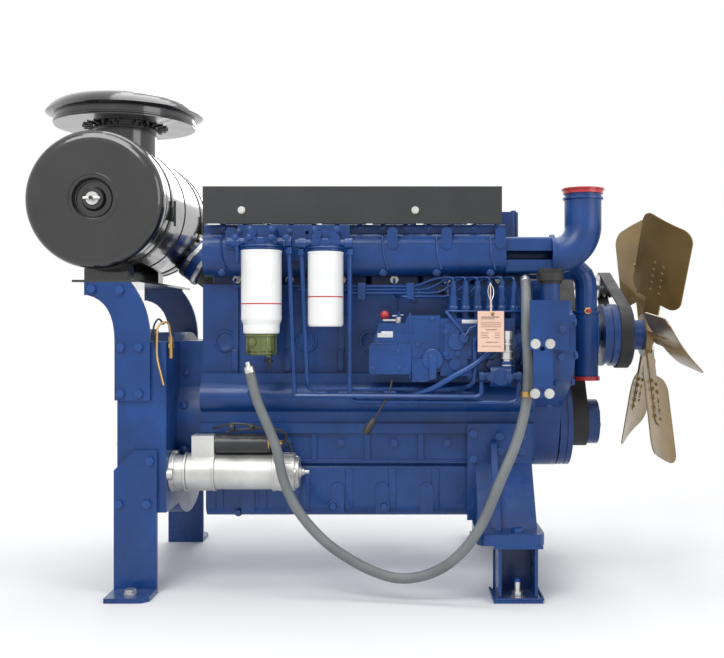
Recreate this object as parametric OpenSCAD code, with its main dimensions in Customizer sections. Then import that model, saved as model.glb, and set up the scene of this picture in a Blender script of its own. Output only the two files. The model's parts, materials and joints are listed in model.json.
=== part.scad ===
// Inline six diesel engine on its four feet, with fan, starter, fuel system and air cleaner.
// The crankshaft axis is X, with +X towards the fan. X = 0 is the rear face of the flywheel
// housing, Y = 0 and Z = 0 are the crank axis, and the injection pump is on the -Y side.

/* [Engine block] */
// Height of the crank axis above the floor
crank_h = 418; // [380:1:470]
// Distance between neighbouring cylinders
bore_pitch = 145; // [140:1:150]
// Cylinder bore diameter
bore_d = 112; // [100:1:116]
// Piston stroke
stroke = 130; // [110:1:136]
// Length of block beyond the first and last cylinder axis
end_wall = 92; // [88:1:98]
// Width of the upper block
block_w = 320; // [300:2:330]
// Width of the crankcase skirt
skirt_w = 372; // [350:2:376]
// Height of the block deck above the crank axis
deck_z = 392; // [380:1:400]
// Depth of the crankcase skirt below the crank axis
skirt_drop = 86; // [80:1:92]
// Depth of the oil pan below the skirt
pan_depth = 158; // [120:1:165]
// Width of the oil pan
pan_w = 360; // [340:2:366]

/* [Flywheel end] */
// Length of the flywheel housing along the crank
housing_len = 132; // [126:1:140]
// Radius of the housing's pilot bore for the driven machine
pilot_r = 255.6; // [253:0.1:258]
// Bolt circle diameter of the rear flange
flange_pcd = 530.2; // [526:0.1:534]
// Width of the rear flange outside its bolt circle
flange_edge = 10.9; // [10:0.1:16]
// Flywheel diameter without its ring gear
flywheel_d = 460; // [440:2:464]

/* [Front end] */
// Depth of the timing case
case_depth = 64; // [58:1:70]
// Height of the fan axis above the crank axis
fan_z = 251; // [244:1:258]
// Radius swept by the fan blades
fan_r = 374; // [340:1:390]
// Number of fan blades
blade_count = 6; // [4:1:8]
// Mid plane of the fan blades
fan_x = 1462; // [1456:1:1475]
// Chord of a fan blade
blade_chord = 176; // [120:1:190]
// Mid plane of the crank belts
crank_belt_x = 1256; // [1252:1:1262]
// Mid plane of the fan belts
fan_belt_x = 1386; // [1382:1:1390]

/* [Air cleaner] */
// Diameter of the air cleaner drum
drum_d = 356; // [330:2:364]
// Length of the air cleaner drum
drum_len = 625; // [615:1:640]
// Diameter of the rain cap
cap_d = 440; // [400:2:460]

/* [Fuel system] */
// Diameter of the water separator
separator_d = 106; // [98:1:108]
// Height of the water separator can
separator_h = 218; // [190:1:220]
// Diameter of the fine fuel filter
fuel_filter_d = 93; // [86:1:96]
// Height of the fine fuel filter
fuel_filter_h = 196; // [170:1:200]
// Distance between neighbouring pump elements
element_pitch = 32; // [30:0.5:33]
// Diameter of the fuel pipes
fuel_pipe_d = 12; // [10:0.5:13]
// Diameter of the high pressure pipes
injector_pipe_d = 7; // [6:0.5:7.5]

/* [Supports] */
// Distance from the centre plane to the outer face of the rear legs
leg_y = 312; // [308:1:318]
// Width of a rear leg
leg_w = 112; // [100:1:116]
// Thickness of the rear leg plate
leg_t = 12; // [8:1:13]
// Diameter of the foundation bolts
floor_bolt_d = 16; // [12:1:18]

/* [Hidden] */
$fn = 64;
// Overrun of every cut, and the clearances between neighbouring pieces
cut = 1;
gap = 0.3;
run_gap = 0.05;
// Colours, as the object has them
blue = [0.03,0.17,0.42];
deep_blue = [0.02,0.1,0.28];
black = [0.05,0.05,0.06];
silver = [0.78,0.78,0.76];
steel = [0.55,0.55,0.56];
white = [0.93,0.93,0.91];
red = [0.75,0.1,0.12];
gold = [0.5,0.37,0.16];
brass = [0.72,0.55,0.25];
grey = [0.3,0.32,0.33];

// Block
cyls = 6;
adapter_len = 68;
housing_r = flange_pcd/2 + flange_edge;
block_x0 = housing_len + adapter_len;
block_x1 = block_x0 + (cyls - 1)*bore_pitch + 2*end_wall;
function bore_x(i) = block_x0 + end_wall + i*bore_pitch;
case_x0 = block_x1 + gap;
case_x1 = case_x0 + case_depth;
cover_t = 14;
cover_x1 = case_x1 + gap + cover_t;
floor_z = -crank_h;
crank_extra = 52;
crank_room = stroke/2 + crank_extra;
skirt_top = 148;
web_t = 26;
main_r = 46;
pin_r = 38;
pan_t = 8;

// Heads, covers and what bolts on to them
head_h = 96;
head_w = 262;
head_gap = 5;
rocker_h = 112;
rocker_w = 176;
log_h = 118;
log_w = 92;
log_y = -(head_w/2 + gap) - log_w;
log_up = 22;
log_z = deck_z + log_up;
elb_r = 50;
elb_bend = 84;
elb_out = 134;
elb_x = block_x1 + elb_out;
cap_h = 16;

// Gears: tooth counts, module and shaft places on the YZ plane
gear_m = 4;
gear_w = 24;
gear_in = 20;
gear_x0 = case_x0 + gear_in;
crank_teeth = 24;
idler_teeth = 60;
cam_teeth = 48;
pump_teeth = 48;
ring_teeth = 164;
pinion_teeth = 12;
ring_m = 3;
pressure = 20;
backlash = 0.5;

// Injection pump
pump_y = -262;
pump_z = 226;
pump_x0 = 848;
pump_x1 = 1076;
pump_w = 86;
pump_h = 130;
elem_x0 = 868;

// Starter
start_turn = 205;
start_reach = (ring_teeth + pinion_teeth)*ring_m/2 + gap;
start_y = start_reach*cos(start_turn);
start_z = start_reach*sin(start_turn);
start_r = 50;
coil_r = 27;

// Engine bolts
m12 = 6;

function unit(v) = v/norm(v);

module box(a,b) translate(a) cube(b - a);
module xcyl(r,x0,x1,y = 0,z = 0) translate([x0,y,z]) rotate([0,90,0]) cylinder(r = r,h = x1-x0);
module ycyl(r,y0,y1,x = 0,z = 0) translate([x,y1,z]) rotate([90,0,0]) cylinder(r = r,h = y1-y0);
module zcyl(r,z0,z1,x = 0,y = 0) translate([x,y,z0]) cylinder(r = r,h = z1-z0);

// A box whose edges along one axis are rounded: axis is "x", "y" or "z"
module rbox(a,b,r,axis = "y") {
  s = b - a;
  translate(a)
    if (axis == "x") rotate([90,0,90]) slab([s[1],s[2]],r,s[0]);
    else if (axis == "y") translate([0,s[1],0]) rotate([90,0,0]) slab([s[0],s[2]],r,s[1]);
    else slab([s[0],s[1]],r,s[2]);
}
module slab(s,r,h) linear_extrude(h) union() {
  translate([r,0]) square([s[0] - 2*r,s[1]]);
  translate([0,r]) square([s[0],s[1] - 2*r]);
  for (i = [r,s[0] - r],j = [r,s[1] - r]) translate([i,j]) circle(r = r);
}

// Bolts: the head stands off the face at p, towards dir along one axis
module hex_bolt(p,r,rot = [90,0,0]) translate(p) rotate(rot) {
  cylinder(r = r*2.1,h = r*0.35);
  translate([0,0,r*0.3]) cylinder(r = r*1.9,h = r*1.25,$fn = 6);
}

// Tubes that follow a path: corners are rounded, then rings are carried along without twist
function corner(p,q,s,rad,k) =
  let (u = unit(p - q),v = unit(s - q),
    e = min(rad,0.45*norm(p - q),0.45*norm(s - q)))
  [for (i = [0:k]) let (t = i/k) (1-t)*(1-t)*(q+e*u)+2*t*(1-t)*q+t*t*(q+e*v)];
function rounded(pts,rad,k = 4) = concat([pts[0]],
  [for (i = [1:len(pts) - 2]) each corner(pts[i - 1],pts[i],pts[i + 1],rad,k)],
  [pts[len(pts) - 1]]);
function tangent(p,i) = i == 0 ? unit(p[1] - p[0])
  : i == len(p) - 1 ? unit(p[i] - p[i - 1])
  : unit(unit(p[i + 1] - p[i]) + unit(p[i] - p[i - 1]));
function first_normal(t) = unit(cross(t,abs(t[2]) < 0.9 ? [0,0,1] : [0,1,0]));
function carry(p,n,i = 0) = i >= len(p) ? [] :
  let (t = tangent(p,i),m = unit(n - (n*t)*t)) concat([m],carry(p,m,i + 1));
module tube(pts,r,sides = 8) {
  normals = carry(pts,first_normal(tangent(pts,0)));
  points = [for (i = [0:len(pts)-1]) let (t = tangent(pts,i),n = normals[i],b = cross(t,n))
    for (j = [0:sides-1]) pts[i]+r*(cos(360*j/sides)*n+sin(360*j/sides)*b)];
  last = (len(pts) - 1)*sides;
  faces = concat(
    [[for (j = [0:sides - 1]) j]],
    [for (i = [0:len(pts)-2],j = [0:sides-1]) let (a = i*sides,k = (j+1) % sides)
      each [[a + j,a + sides + j,a + sides + k],[a + j,a + sides + k,a + k]]],
    [[for (j = [sides - 1:-1:0]) last + j]]);
  polyhedron(points,faces);
}

// Involute spur gear outline: teeth, module, and the turn of its first tooth
function involute(rb,a) = [rb*(cos(a)+a*PI/180*sin(a)),rb*(sin(a)-a*PI/180*cos(a))];
function turned(p,a) = [p[0]*cos(a)-p[1]*sin(a),p[0]*sin(a)+p[1]*cos(a)];
function roll_to(rb,r) = sqrt(max(0,(r/rb)*(r/rb) - 1))*180/PI;
function gear_points(n,m,lash) =
  let (rp = n*m/2,rb = rp*cos(pressure),ra = rp + 0.9*m,rf = rp - 1.2*m,
    inv = tan(pressure)*180/PI - pressure,
    half = 90/n - lash/rp*90/PI + inv,
    low = roll_to(rb,max(rb,rf)),high = roll_to(rb,ra),k = 2,
    flank = [for (i = [0:k]) involute(rb,low + (high - low)*i/k)])
  [for (t = [0:n - 1]) each concat(
    rf < rb ? [turned([rf,0],360*t/n - half)] : [],
    [for (p = flank) turned(p,360*t/n - half)],
    [for (i = [k:-1:0]) turned([flank[i][0],-flank[i][1]],360*t/n + half)],
    rf < rb ? [turned([rf,0],360*t/n + half)] : [])];
module gear(n,m,w,turn = 0,lash = backlash) linear_extrude(w) rotate(turn) polygon(gear_points(n,m,lash));
// A gear on an X shaft, whose turn is measured from +Y towards +Z
module x_gear(n,m,x,y,z,w,turn = 0,lash = backlash)
  translate([x,y,z]) rotate([90,0,90]) gear(n,m,w,turn,lash);

// Gear train: the idler meshes with the crank, cam and pump gears
crank_idler = (crank_teeth + idler_teeth)*gear_m/2;
idler_pump = (idler_teeth + pump_teeth)*gear_m/2;
idler_cam = (idler_teeth + cam_teeth)*gear_m/2;
pump_reach = norm([pump_y,pump_z]);
along = (crank_idler*crank_idler-idler_pump*idler_pump+pump_reach*pump_reach)/(2*pump_reach);
across = sqrt(crank_idler*crank_idler - along*along);
to_pump = [pump_y,pump_z]/pump_reach;
idler_at = along*to_pump + across*[pump_z,-pump_y]/pump_reach;
cam_y = 148;
cam_at = [cam_y,idler_at[1]-sqrt(idler_cam*idler_cam-pow(cam_y-idler_at[0],2))];
function heading(v) = atan2(v[1],v[0]);
function mesh_turn(turn,n,phi,m) = phi+180-(0.5-(phi-turn)*n/360)*360/m;
idler_turn = mesh_turn(0,crank_teeth,heading(idler_at),idler_teeth);
cam_turn = mesh_turn(idler_turn,idler_teeth,heading(cam_at-idler_at),cam_teeth);
pump_turn = mesh_turn(idler_turn,idler_teeth,heading([pump_y,pump_z]-idler_at),pump_teeth);
pinion_turn = mesh_turn(0,ring_teeth,start_turn,pinion_teeth);
cam_r = 27;
lobe_r = 23;
idler_pin_r = 22;
pump_shaft_r = 14;
nose_r = 30;

// Cylinder block
core_plug_r = 24;
rib_w = 14;
rib_t = 8;
ledge_h = 26;
ledge_t = 14;
lid_t = 10;
module cylinder_block() color(blue) difference() {
  union() {
    box([block_x0,-block_w/2,skirt_top - cut],[block_x1,block_w/2,deck_z]);
    box([block_x0,-skirt_w/2,-skirt_drop],[block_x1,skirt_w/2,skirt_top]);
    // long rounded gallery along the pump side, and the ledge above it
    xcyl(gallery_r,block_x0,block_x1,-skirt_w/2 + gallery_r/2,gallery_z);
    box([block_x0,-skirt_w/2-ledge_t,-ledge_h/2],[block_x1,skirt_w/2+ledge_t,ledge_h/2]);
    // ribs between the cylinders and core plugs on them, both sides
    for (side = [-1,1],i = [0:cyls - 1]) {
      translate([bore_x(i)-rib_w/2,side*(block_w/2+rib_t/2)-rib_t/2,skirt_top-cut])
        cube([rib_w,rib_t,deck_z - skirt_top]);
      box([bore_x(i) + bore_pitch/2 - rib_w/2,-skirt_w/2 - rib_t,-skirt_drop],
        [bore_x(i) + bore_pitch/2 + rib_w/2,skirt_w/2 + rib_t,-ledge_h/2 + cut]);
    }
  }
  for (i = [0:cyls - 1])
    zcyl(bore_d/2,0,deck_z + cut,bore_x(i));
  // a crankcase bay under each cylinder, with a web between neighbours
  for (i = [0:cyls - 1])
    intersection() {
      xcyl(crank_room,bore_x(i)-(bore_pitch-web_t)/2,bore_x(i)+(bore_pitch-web_t)/2);
      box([block_x0,-skirt_w/2,-skirt_drop-cut],[block_x1,skirt_w/2,crank_room+cut]);
    }
  for (i = [0:cyls - 1])
    box([bore_x(i) - (bore_pitch - web_t)/2,-crank_room,-skirt_drop - cut],
      [bore_x(i) + (bore_pitch - web_t)/2,crank_room,0]);
  // main bearing line, caps' seat and cam tunnel
  xcyl(main_r + run_gap,block_x0 - cut,block_x1 + cut);
  box([block_x0-cut,-cap_w/2,-skirt_drop-cut],[block_x1+cut,cap_w/2,0]);
  xcyl(cam_r + run_gap,block_x0 - cut,block_x1 + cut,cam_at[0],cam_at[1]);
}
gallery_r = 46;
gallery_z = 84;
cap_w = 150;
cap_drop = 74;

function web_x(i) = block_x0 + end_wall - bore_pitch/2 + i*bore_pitch;
module main_bearing_caps() color(steel) for (i = [0:cyls]) difference() {
  box([web_x(i)-web_t/2,-cap_w/2,-cap_drop],[web_x(i)+web_t/2,cap_w/2,0]);
  xcyl(main_r + run_gap,web_x(i) - web_t,web_x(i) + web_t);
}

head_bolt_r = 8;
module cylinder_heads() color(blue) for (i = [0:cyls - 1]) {
  difference() {
    rbox([bore_x(i) - (bore_pitch - head_gap)/2,-head_w/2,deck_z],
      [bore_x(i)+(bore_pitch-head_gap)/2,head_w/2,deck_z+head_h],edge_r,"z");
    ycyl(inj_r,-head_w/2-cut,-head_w/2+inj_in,bore_x(i),inj_z);
  }
}
edge_r = 10;
inj_r = 11;
inj_up = 34;
inj_cap_h = 18;

module rocker_covers() color(blue) for (i = [0:cyls - 1]) {
  difference() {
    rbox([bore_x(i) - rocker_len/2,-rocker_w/2,deck_z + head_h],
      [bore_x(i)+rocker_len/2,rocker_w/2,deck_z+head_h+rocker_h],edge_r*2,"z");
    rbox([bore_x(i)-rocker_len/2+cover_wall,-rocker_w/2+cover_wall,deck_z+head_h-cut],
      [bore_x(i) + rocker_len/2 - cover_wall,rocker_w/2 - cover_wall,
       deck_z + head_h + rocker_h - cover_wall],edge_r,"z");
  }
  for (s = [-1,1])
    hex_bolt([bore_x(i),s*rocker_w/4,deck_z+head_h+rocker_h],head_bolt_r,[0,0,0]);
}
rocker_len = 124;
cover_wall = 5;

// Oil pan with pressed ribs, its rail and drain plug
module oil_pan() color(blue) difference() {
  union() {
    rbox([block_x0 + pan_inset,-pan_w/2,-skirt_drop - pan_depth],
      [block_x1 - pan_inset,pan_w/2,-skirt_drop],pan_r,"x");
    box([block_x0,-pan_w/2-pan_lip,-skirt_drop-pan_lip],[block_x1,pan_w/2+pan_lip,-skirt_drop]);
    for (s = [-1,1],i = [0:pan_ribs - 1])
      translate([block_x0+pan_rib_x+i*pan_rib_step,s*pan_w/2,-skirt_drop-pan_depth/2-pan_r])
        rotate([90,0,0]) rib_pad();
    zcyl(drain_r*2,-skirt_drop-pan_depth-pan_lip/2,-skirt_drop-pan_depth+pan_lip,
      block_x0 + drain_x);
  }
  rbox([block_x0+pan_inset+pan_t,-pan_w/2+pan_t,-skirt_drop-pan_depth+pan_t],
    [block_x1-pan_inset-pan_t,pan_w/2-pan_t,-skirt_drop+pan_depth],pan_r-pan_t,"x");
}
module rib_pad() translate([0,0,-pan_rib_t]) linear_extrude(2*pan_rib_t) union() {
  translate([-pan_rib_w/2,-pan_rib_h/2]) square([pan_rib_w,pan_rib_h]);
  translate([0,pan_rib_h/2]) circle(d = pan_rib_w);
}
pan_inset = 12;
pan_lip = 10;
pan_r = 34;
pan_ribs = 7;
pan_rib_x = 128;
pan_rib_step = 122;
pan_rib_w = 36;
pan_rib_h = 64;
pan_rib_t = 5;
drain_r = 11;
drain_x = 186;

// Crankshaft: main journals on the axis, pins on six throws in firing pairs
throws = [0,120,240,240,120,0];
cheek_t = 22;
cheek_r = 50;
cheek_gap = 4;
weight_extra = 44;
pin_half = (bore_pitch - web_t)/2 - cheek_t - cheek_gap;
weight_r = stroke/2 + weight_extra;
module crankshaft() color(steel) union() {
  xcyl(main_r,crank_x0,web_x(0) + web_t/2 + cheek_gap + cut);
  for (i = [1:cyls]) xcyl(main_r,web_x(i)-web_t/2-cheek_gap-cut,web_x(i)+web_t/2+cheek_gap+cut);
  xcyl(nose_r,web_x(cyls),crank_x1);
  for (i = [0:cyls - 1]) translate([bore_x(i),0,0]) rotate([throws[i],0,0]) {
    xcyl(pin_r,-pin_half - cut,pin_half + cut,0,stroke/2);
    for (s = [-1,1]) {
      a = s > 0 ? pin_half : -pin_half - cheek_t;
      xcyl(cheek_r,a,a + cheek_t,0,stroke/2);
      box([a,-cheek_r,0],[a + cheek_t,cheek_r,stroke/2]);
      intersection() {
        xcyl(weight_r,a,a + cheek_t);
        box([a - cut,-weight_r,-weight_r - cut],[a + cheek_t + cut,weight_r,0]);
      }
    }
  }
}
crank_x0 = 40;
nose_out = 58;
crank_x1 = crank_belt_x + nose_out;

// Pistons hang at the heights that the three pairs of throws give them
rod_len = 245;
piston_h = 120;
crown_drop = 2;
pin_to_crown = deck_z - crown_drop - stroke/2 - rod_len;
piston_pin_r = 20;
function pin_z(a) = stroke/2*cos(a)+sqrt(rod_len*rod_len-pow(stroke/2*sin(a),2));
module pistons(pair) color(silver) for (i = pair) translate([bore_x(i),0,pin_z(throws[i])+
  pin_to_crown-piston_h])
  difference() {
    cylinder(r = bore_d/2 - run_gap,h = piston_h);
    translate([0,0,-cut]) cylinder(r = bore_d/2-crown_wall,h = piston_h/2+cut);
    for (k = [0:ring_count-1]) translate([0,0,piston_h-ring_first-k*ring_step]) difference() {
      cylinder(r = bore_d,h = ring_h);
      translate([0,0,-cut]) cylinder(r = bore_d/2 - ring_depth,h = ring_h + 2*cut);
    }
  }
crown_wall = 8;
ring_count = 3;
ring_first = 14;
ring_step = 11;
ring_h = 4;
ring_depth = 4;

// Flywheel housing: a bell with a bolted rear flange and side pads for the legs
flange_t = 18;
bell_inner_r = 251.5;
bell_wall = 8;
front_wall = 12;
flange_holes = 12;
flange_hole_r = 5.4;
top_flat_z = 268;
crank_hole_r = 84;
pad_x0 = 4;
pad_x1 = housing_len;
pad_z0 = -210;
pad_z1 = 236;
module flywheel_housing() color(blue) difference() {
  intersection() {
    union() {
      xcyl(housing_r,0,flange_t);
      xcyl(bell_inner_r + bell_wall,0,housing_len);
      for (s = [-1,1])
        translate([pad_x0,s > 0 ? 0 : -(leg_y - leg_t),pad_z0])
          cube([pad_x1 - pad_x0,leg_y - leg_t,pad_z1 - pad_z0]);
    }
    box([-cut,-housing_r*2,-housing_r-cut],[housing_len+cut,housing_r*2,top_flat_z]);
  }
  xcyl(pilot_r,-cut,flange_t/2);
  xcyl(bell_inner_r,0,housing_len - front_wall);
  xcyl(crank_hole_r,0,housing_len + cut);
  xcyl(pinion_room_r,0,housing_len + cut,start_y,start_z);
  for (i = [0:flange_holes - 1])
    rotate([(i+0.5)*360/flange_holes,0,0]) xcyl(flange_hole_r,-cut,flange_t+cut,0,flange_pcd/2);
}
pinion_room_r = 27;

// Rear adapter between housing and block
adapter_r = 178;
module rear_adapter() color(blue) difference() {
  union() {
    xcyl(adapter_r,housing_len,block_x0);
    box([housing_len,-adapter_half,0],[block_x0,adapter_half,adapter_top]);
  }
  xcyl(crank_hole_r,housing_len - cut,block_x0 + cut);
}
adapter_half = 140;
adapter_top = 236;

// Flywheel with its clutch face, and the ring gear shrunk on to it
wheel_x0 = 46;
wheel_x1 = 98;
ring_gear_w = 20;
module flywheel() color(steel) difference() {
  union() {
    xcyl(flywheel_d/2,wheel_x0,wheel_x1);
    xcyl(crank_hole_r - run_gap - cut,wheel_x1 - cut,crank_seat_x);
  }
  xcyl(flywheel_d/2-wheel_rim,wheel_x0-cut,wheel_x0+wheel_rim/2);
  xcyl(main_r,wheel_x0 - cut,crank_seat_x + cut);
  for (i = [0:drive_holes - 1])
    rotate([i*360/drive_holes,0,0]) xcyl(drive_hole_r,wheel_x0-cut,wheel_x1-wheel_rim/2,0,drive_pcd/2);
}
wheel_rim = 36;
crank_seat_x = 124;
drive_holes = 8;
drive_hole_r = 6;
drive_pcd = 340;
module ring_gear() color(steel) difference() {
  x_gear(ring_teeth,ring_m,wheel_x1 - ring_gear_w,0,0,ring_gear_w);
  xcyl(flywheel_d/2 - 2*cut,wheel_x0,wheel_x1 + cut);
}

// Rear legs: a plate with a chamfered top and a foot turned outwards
leg_top = -46;
leg_x0 = -2;
foot_reach = 92;
foot_slant = 18;
leg_chamfer = 52;
module rear_leg(s) color(blue) difference() {
  union() {
    translate([0,s > 0 ? leg_y : -leg_y+leg_t,0]) rotate([90,0,0]) linear_extrude(leg_t)
      polygon([[leg_x0,floor_z],[leg_x0 + leg_w,floor_z],[leg_x0 + leg_w,leg_top],
          [leg_x0 + leg_chamfer,leg_top],[leg_x0,leg_top - leg_chamfer]]);
    translate([0,0,floor_z]) linear_extrude(leg_t) polygon([
      [leg_x0,s*(leg_y - leg_t)],[leg_x0 + leg_w,s*(leg_y - leg_t)],
      [leg_x0 + leg_w,s*(leg_y + foot_reach - foot_slant)],
      [leg_x0+leg_w-foot_slant,s*(leg_y+foot_reach)],[leg_x0,s*(leg_y+foot_reach)]]);
  }
  zcyl(floor_bolt_d/2+cut,floor_z-cut,floor_z+leg_t+cut,leg_x0+leg_w/2,s*(leg_y+foot_reach/2));
  // tooling hole
  translate([leg_x0+leg_hole_in,s*leg_y,leg_top-leg_hole_down]) rotate([90,0,0])
    cylinder(r = leg_hole_r,h = 4*leg_t,center = true);
}
leg_hole_in = 22;
leg_hole_r = 5;
leg_hole_down = 13;

// Curved brackets that stand on the housing pads and carry the air cleaner
function curve(a,b,c,k = 8) = [for (i = [0:k]) let (t = i/k) (1-t)*(1-t)*a+2*t*(1-t)*b+t*t*c];
brk_t = 12;
brk_foot_z = 84;
brk_w = 92;
brk_h = 308;
brk_lean = 79;
module cleaner_bracket(s) color(blue)
  translate([0,s > 0 ? leg_y : -leg_y+brk_t,brk_foot_z]) rotate([90,0,0]) linear_extrude(brk_t)
    polygon(concat(
      [[0,0],[brk_w,0]],
      curve([brk_w,brk_h*outer_start_share],[brk_w,brk_h*outer_mid_share],[brk_w*outer_end_share,brk_h]),
      [[-brk_lean,brk_h],[-brk_lean,brk_h*lip_share]],
      curve([-brk_lean*0.9,brk_h*lip_share],[0,brk_h*inner_mid_share],[0,brk_h*outer_start_share])));
outer_start_share = 0.5;
outer_mid_share = 0.8;
outer_end_share = 0.44;
lip_share = 0.89;
inner_mid_share = 0.84;

// Air cleaner: drum across the engine, cover at the pump side, rain cap on a neck
drum_x = -52;
drum_z = 608;
drum_y0 = -330;
drum_wall = 4;
saddle_t = 6;
brk_top = brk_foot_z + brk_h;
cover_len = 46;
cover_over = 3;
out_r = 62;
neck_r = 88;
neck_y = drum_y0 + drum_len/2;
cap_z = 884;
saddle_w = 118;
saddle_legs_y = [-210,130];
module air_cleaner_drum() color(black) difference() {
  union() {
    ycyl(drum_d/2,drum_y0 + cover_len,drum_y0 + drum_len,drum_x,drum_z);
    zcyl(neck_r,drum_z,neck_top,drum_x,neck_y);
    translate(out_at) rotate([0,out_lean,0]) cylinder(r = out_r,h = drum_d/2+out_stub);
  }
  ycyl(drum_d/2-drum_wall,drum_y0,drum_y0+drum_len-drum_wall,drum_x,drum_z);
  zcyl(neck_r - drum_wall,drum_z,neck_top + cut,drum_x,neck_y);
  translate(out_at) rotate([0,out_lean,0])
    cylinder(r = out_r - drum_wall,h = drum_d/2 + out_stub + cut);
}
neck_top = 856;
out_lean = 128;
out_stub = 26;
out_at = [drum_x,drum_y0 + drum_len - out_r*1.2,drum_z];

module air_cleaner_cover() color(black) translate([drum_x,drum_y0+cover_len,drum_z]) rotate([90,0,0])
  rotate_extrude($fn = 96) polygon(concat(
    [[drum_d/2 - drum_wall,0],[drum_d/2 + cover_over,0]],
    curve([drum_d/2+cover_over,cover_len*0.4],[drum_d/2+cover_over,cover_len],[drum_d/2-cover_len*0.6,
      cover_len]),
    [[dish_r,cover_len],[dish_r*0.86,cover_len-dish_depth],[dish_r*0.6,cover_len-dish_depth],
    [dish_r*0.5,cover_len-dish_depth/3],[stud_r+run_gap,cover_len-dish_depth/3],
    [stud_r+run_gap,cover_len-dish_depth-drum_wall],[dish_r,cover_len-dish_depth-drum_wall],
    [dish_r+drum_wall,cover_len-drum_wall],[drum_d/2-cover_len*0.6,cover_len-drum_wall],
    [drum_d/2 - drum_wall,cover_len*0.4]]));
dish_r = 54;
dish_depth = 14;
stud_r = 5;

module centre_stud() color(steel) {
  ycyl(stud_r,drum_y0 - stud_out,drum_y0 + drum_len - drum_wall,drum_x,drum_z);
}
stud_out = 16;
module wing_nut() color(silver) difference() {
  union() {
    ycyl(wing_r,drum_y0+dish_depth/3-wing_t-gap,drum_y0+dish_depth/3-gap,drum_x,drum_z);
    rbox([drum_x-wing_span/2,drum_y0+dish_depth/3-wing_t*2-gap,drum_z-wing_t/2],
      [drum_x+wing_span/2,drum_y0+dish_depth/3-gap,drum_z+wing_t/2],wing_t/3,"x");
  }
  ycyl(stud_r + run_gap,drum_y0 - 2*stud_out,drum_y0 + stud_out,drum_x,drum_z);
}
wing_r = 17;
wing_t = 7;
wing_span = 44;

// Rain cap: a dished lid over a collar with a skirt
module rain_cap() color(black) translate([drum_x,neck_y,cap_z]) difference() {
  rotate_extrude($fn = 96) polygon(concat(
    [[0,cap_top],[cap_d*0.32,cap_top]],
    curve([cap_d*0.36,cap_top*0.96],[cap_d*0.46,cap_top*0.8],[cap_d/2,0]),
    [[cap_d/2-cap_lip,-cap_lip*0.4],[collar_d/2,-cap_lip*0.4],[collar_d/2,-collar_h],
    [neck_r + gap,-collar_h],[neck_r + gap,-gap],[0,-gap]]));
}
cap_top = 40;
cap_lip = 14;
collar_d = 396;
collar_h = 32;

module cleaner_saddle() color(black) {
  difference() {
    union() {
      box([drum_x-saddle_w/2,-leg_y,brk_top],[drum_x+saddle_w,leg_y,brk_top+saddle_t]);
      for (y = saddle_legs_y)
        box([drum_x-saddle_w/2,y,brk_top],[drum_x+saddle_w/2,y+saddle_leg_t,drum_z]);
    }
    ycyl(drum_d/2,drum_y0,drum_y0 + drum_len,drum_x,drum_z);
  }
}
saddle_leg_t = 60;

// Duct from the drum to the turbocharger, its coupling and clamps
out_end = out_at+(drum_d/2+out_stub)*[sin(out_lean),0,cos(out_lean)];
duct_dir = [sin(out_lean),0,cos(out_lean)];
turbo_x = 560;
turbo_y = 294;
turbo_z = 420;
turbo_r = 74;
turbo_inlet_len = 96;
turbo_inlet = [turbo_x - turbo_inlet_len,turbo_y,turbo_z];
module air_duct() color(grey) {
  tube(rounded([out_end + gap*duct_dir,out_end + duct_first*duct_dir,
         [duct_mid_x,turbo_y,turbo_z],turbo_inlet-[gap,0,0]],duct_bend,6),out_r-drum_wall,20);
}
duct_first = 90;
duct_mid_x = 266;
duct_bend = 150;
module duct_coupling() color("royalblue") translate(out_end-coupling_len/3*duct_dir) rotate([0,out_lean,
  0])
  difference() {
    cylinder(r = out_r + coupling_t,h = coupling_len);
    translate([0,0,-cut]) cylinder(r = out_r,h = coupling_len + 2*cut);
  }
coupling_len = 60;
coupling_t = 5;
module duct_clamps() color(silver) for (k = [0.1,0.75])
  translate(out_end+(k-1/3)*coupling_len*duct_dir) rotate([0,out_lean,0]) difference() {
    union() {
      cylinder(r = out_r + coupling_t + clamp_t,h = clamp_w);
      translate([0,-out_r-coupling_t-clamp_t*3,clamp_w/2]) cube([clamp_w*2,clamp_w,clamp_w],
        center = true);
    }
    translate([0,0,-cut]) cylinder(r = out_r + coupling_t,h = clamp_w + 2*cut);
  }
clamp_t = 2;
clamp_w = 12;

// Intake manifold: a rounded log along the pump side with a square neck at the front
log_in = 10;
log_x0 = block_x0 + log_in;
log_x1 = block_x1 - 8*log_in;
neck_len = 124;
log_wall = 6;
port_w = 54;
head_mid_z = deck_z + head_h/2;
module intake_manifold() color(blue) difference() {
  union() {
    rbox([log_x0,log_y,log_z],[log_x1,log_y+log_w,log_z+log_h],
      log_w*0.46,"x");
    rbox([log_x0,log_y + log_w/3,log_z + log_h/2],
      [log_x1,-head_w/2,log_z + log_h + flange_up],edge_r/2,"x");
    rbox([log_x1 - cut,log_y + edge_r,elb_z - elb_r],
      [log_x1 + neck_len,log_y + log_w,elb_z + elb_r],edge_r,"x");
    for (i = [0:cyls - 1])
      rbox([bore_x(i) - port_w/3,log_y - boss_t,log_z + log_h*0.6],
        [bore_x(i)-port_w/3+boss_w,log_y+log_w/2,log_z+log_h+flange_up/2],
        boss_w*0.45,"y");
  }
  rbox([log_x0+log_wall,log_y+log_wall,log_z+log_wall],
    [log_x1,log_y+log_w-log_wall,log_z+log_h-log_wall],
    log_w*0.4,"x");
  xcyl(elb_r-2*log_wall,log_x1-cut,log_x1+neck_len+cut,elb_y,elb_z);
}
flange_up = 22;
boss_t = 4;
boss_w = 28;
elb_y = log_y + log_w/2;
elb_z = log_z + log_h/2 - boss_t;
elb_top = 646;
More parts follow.
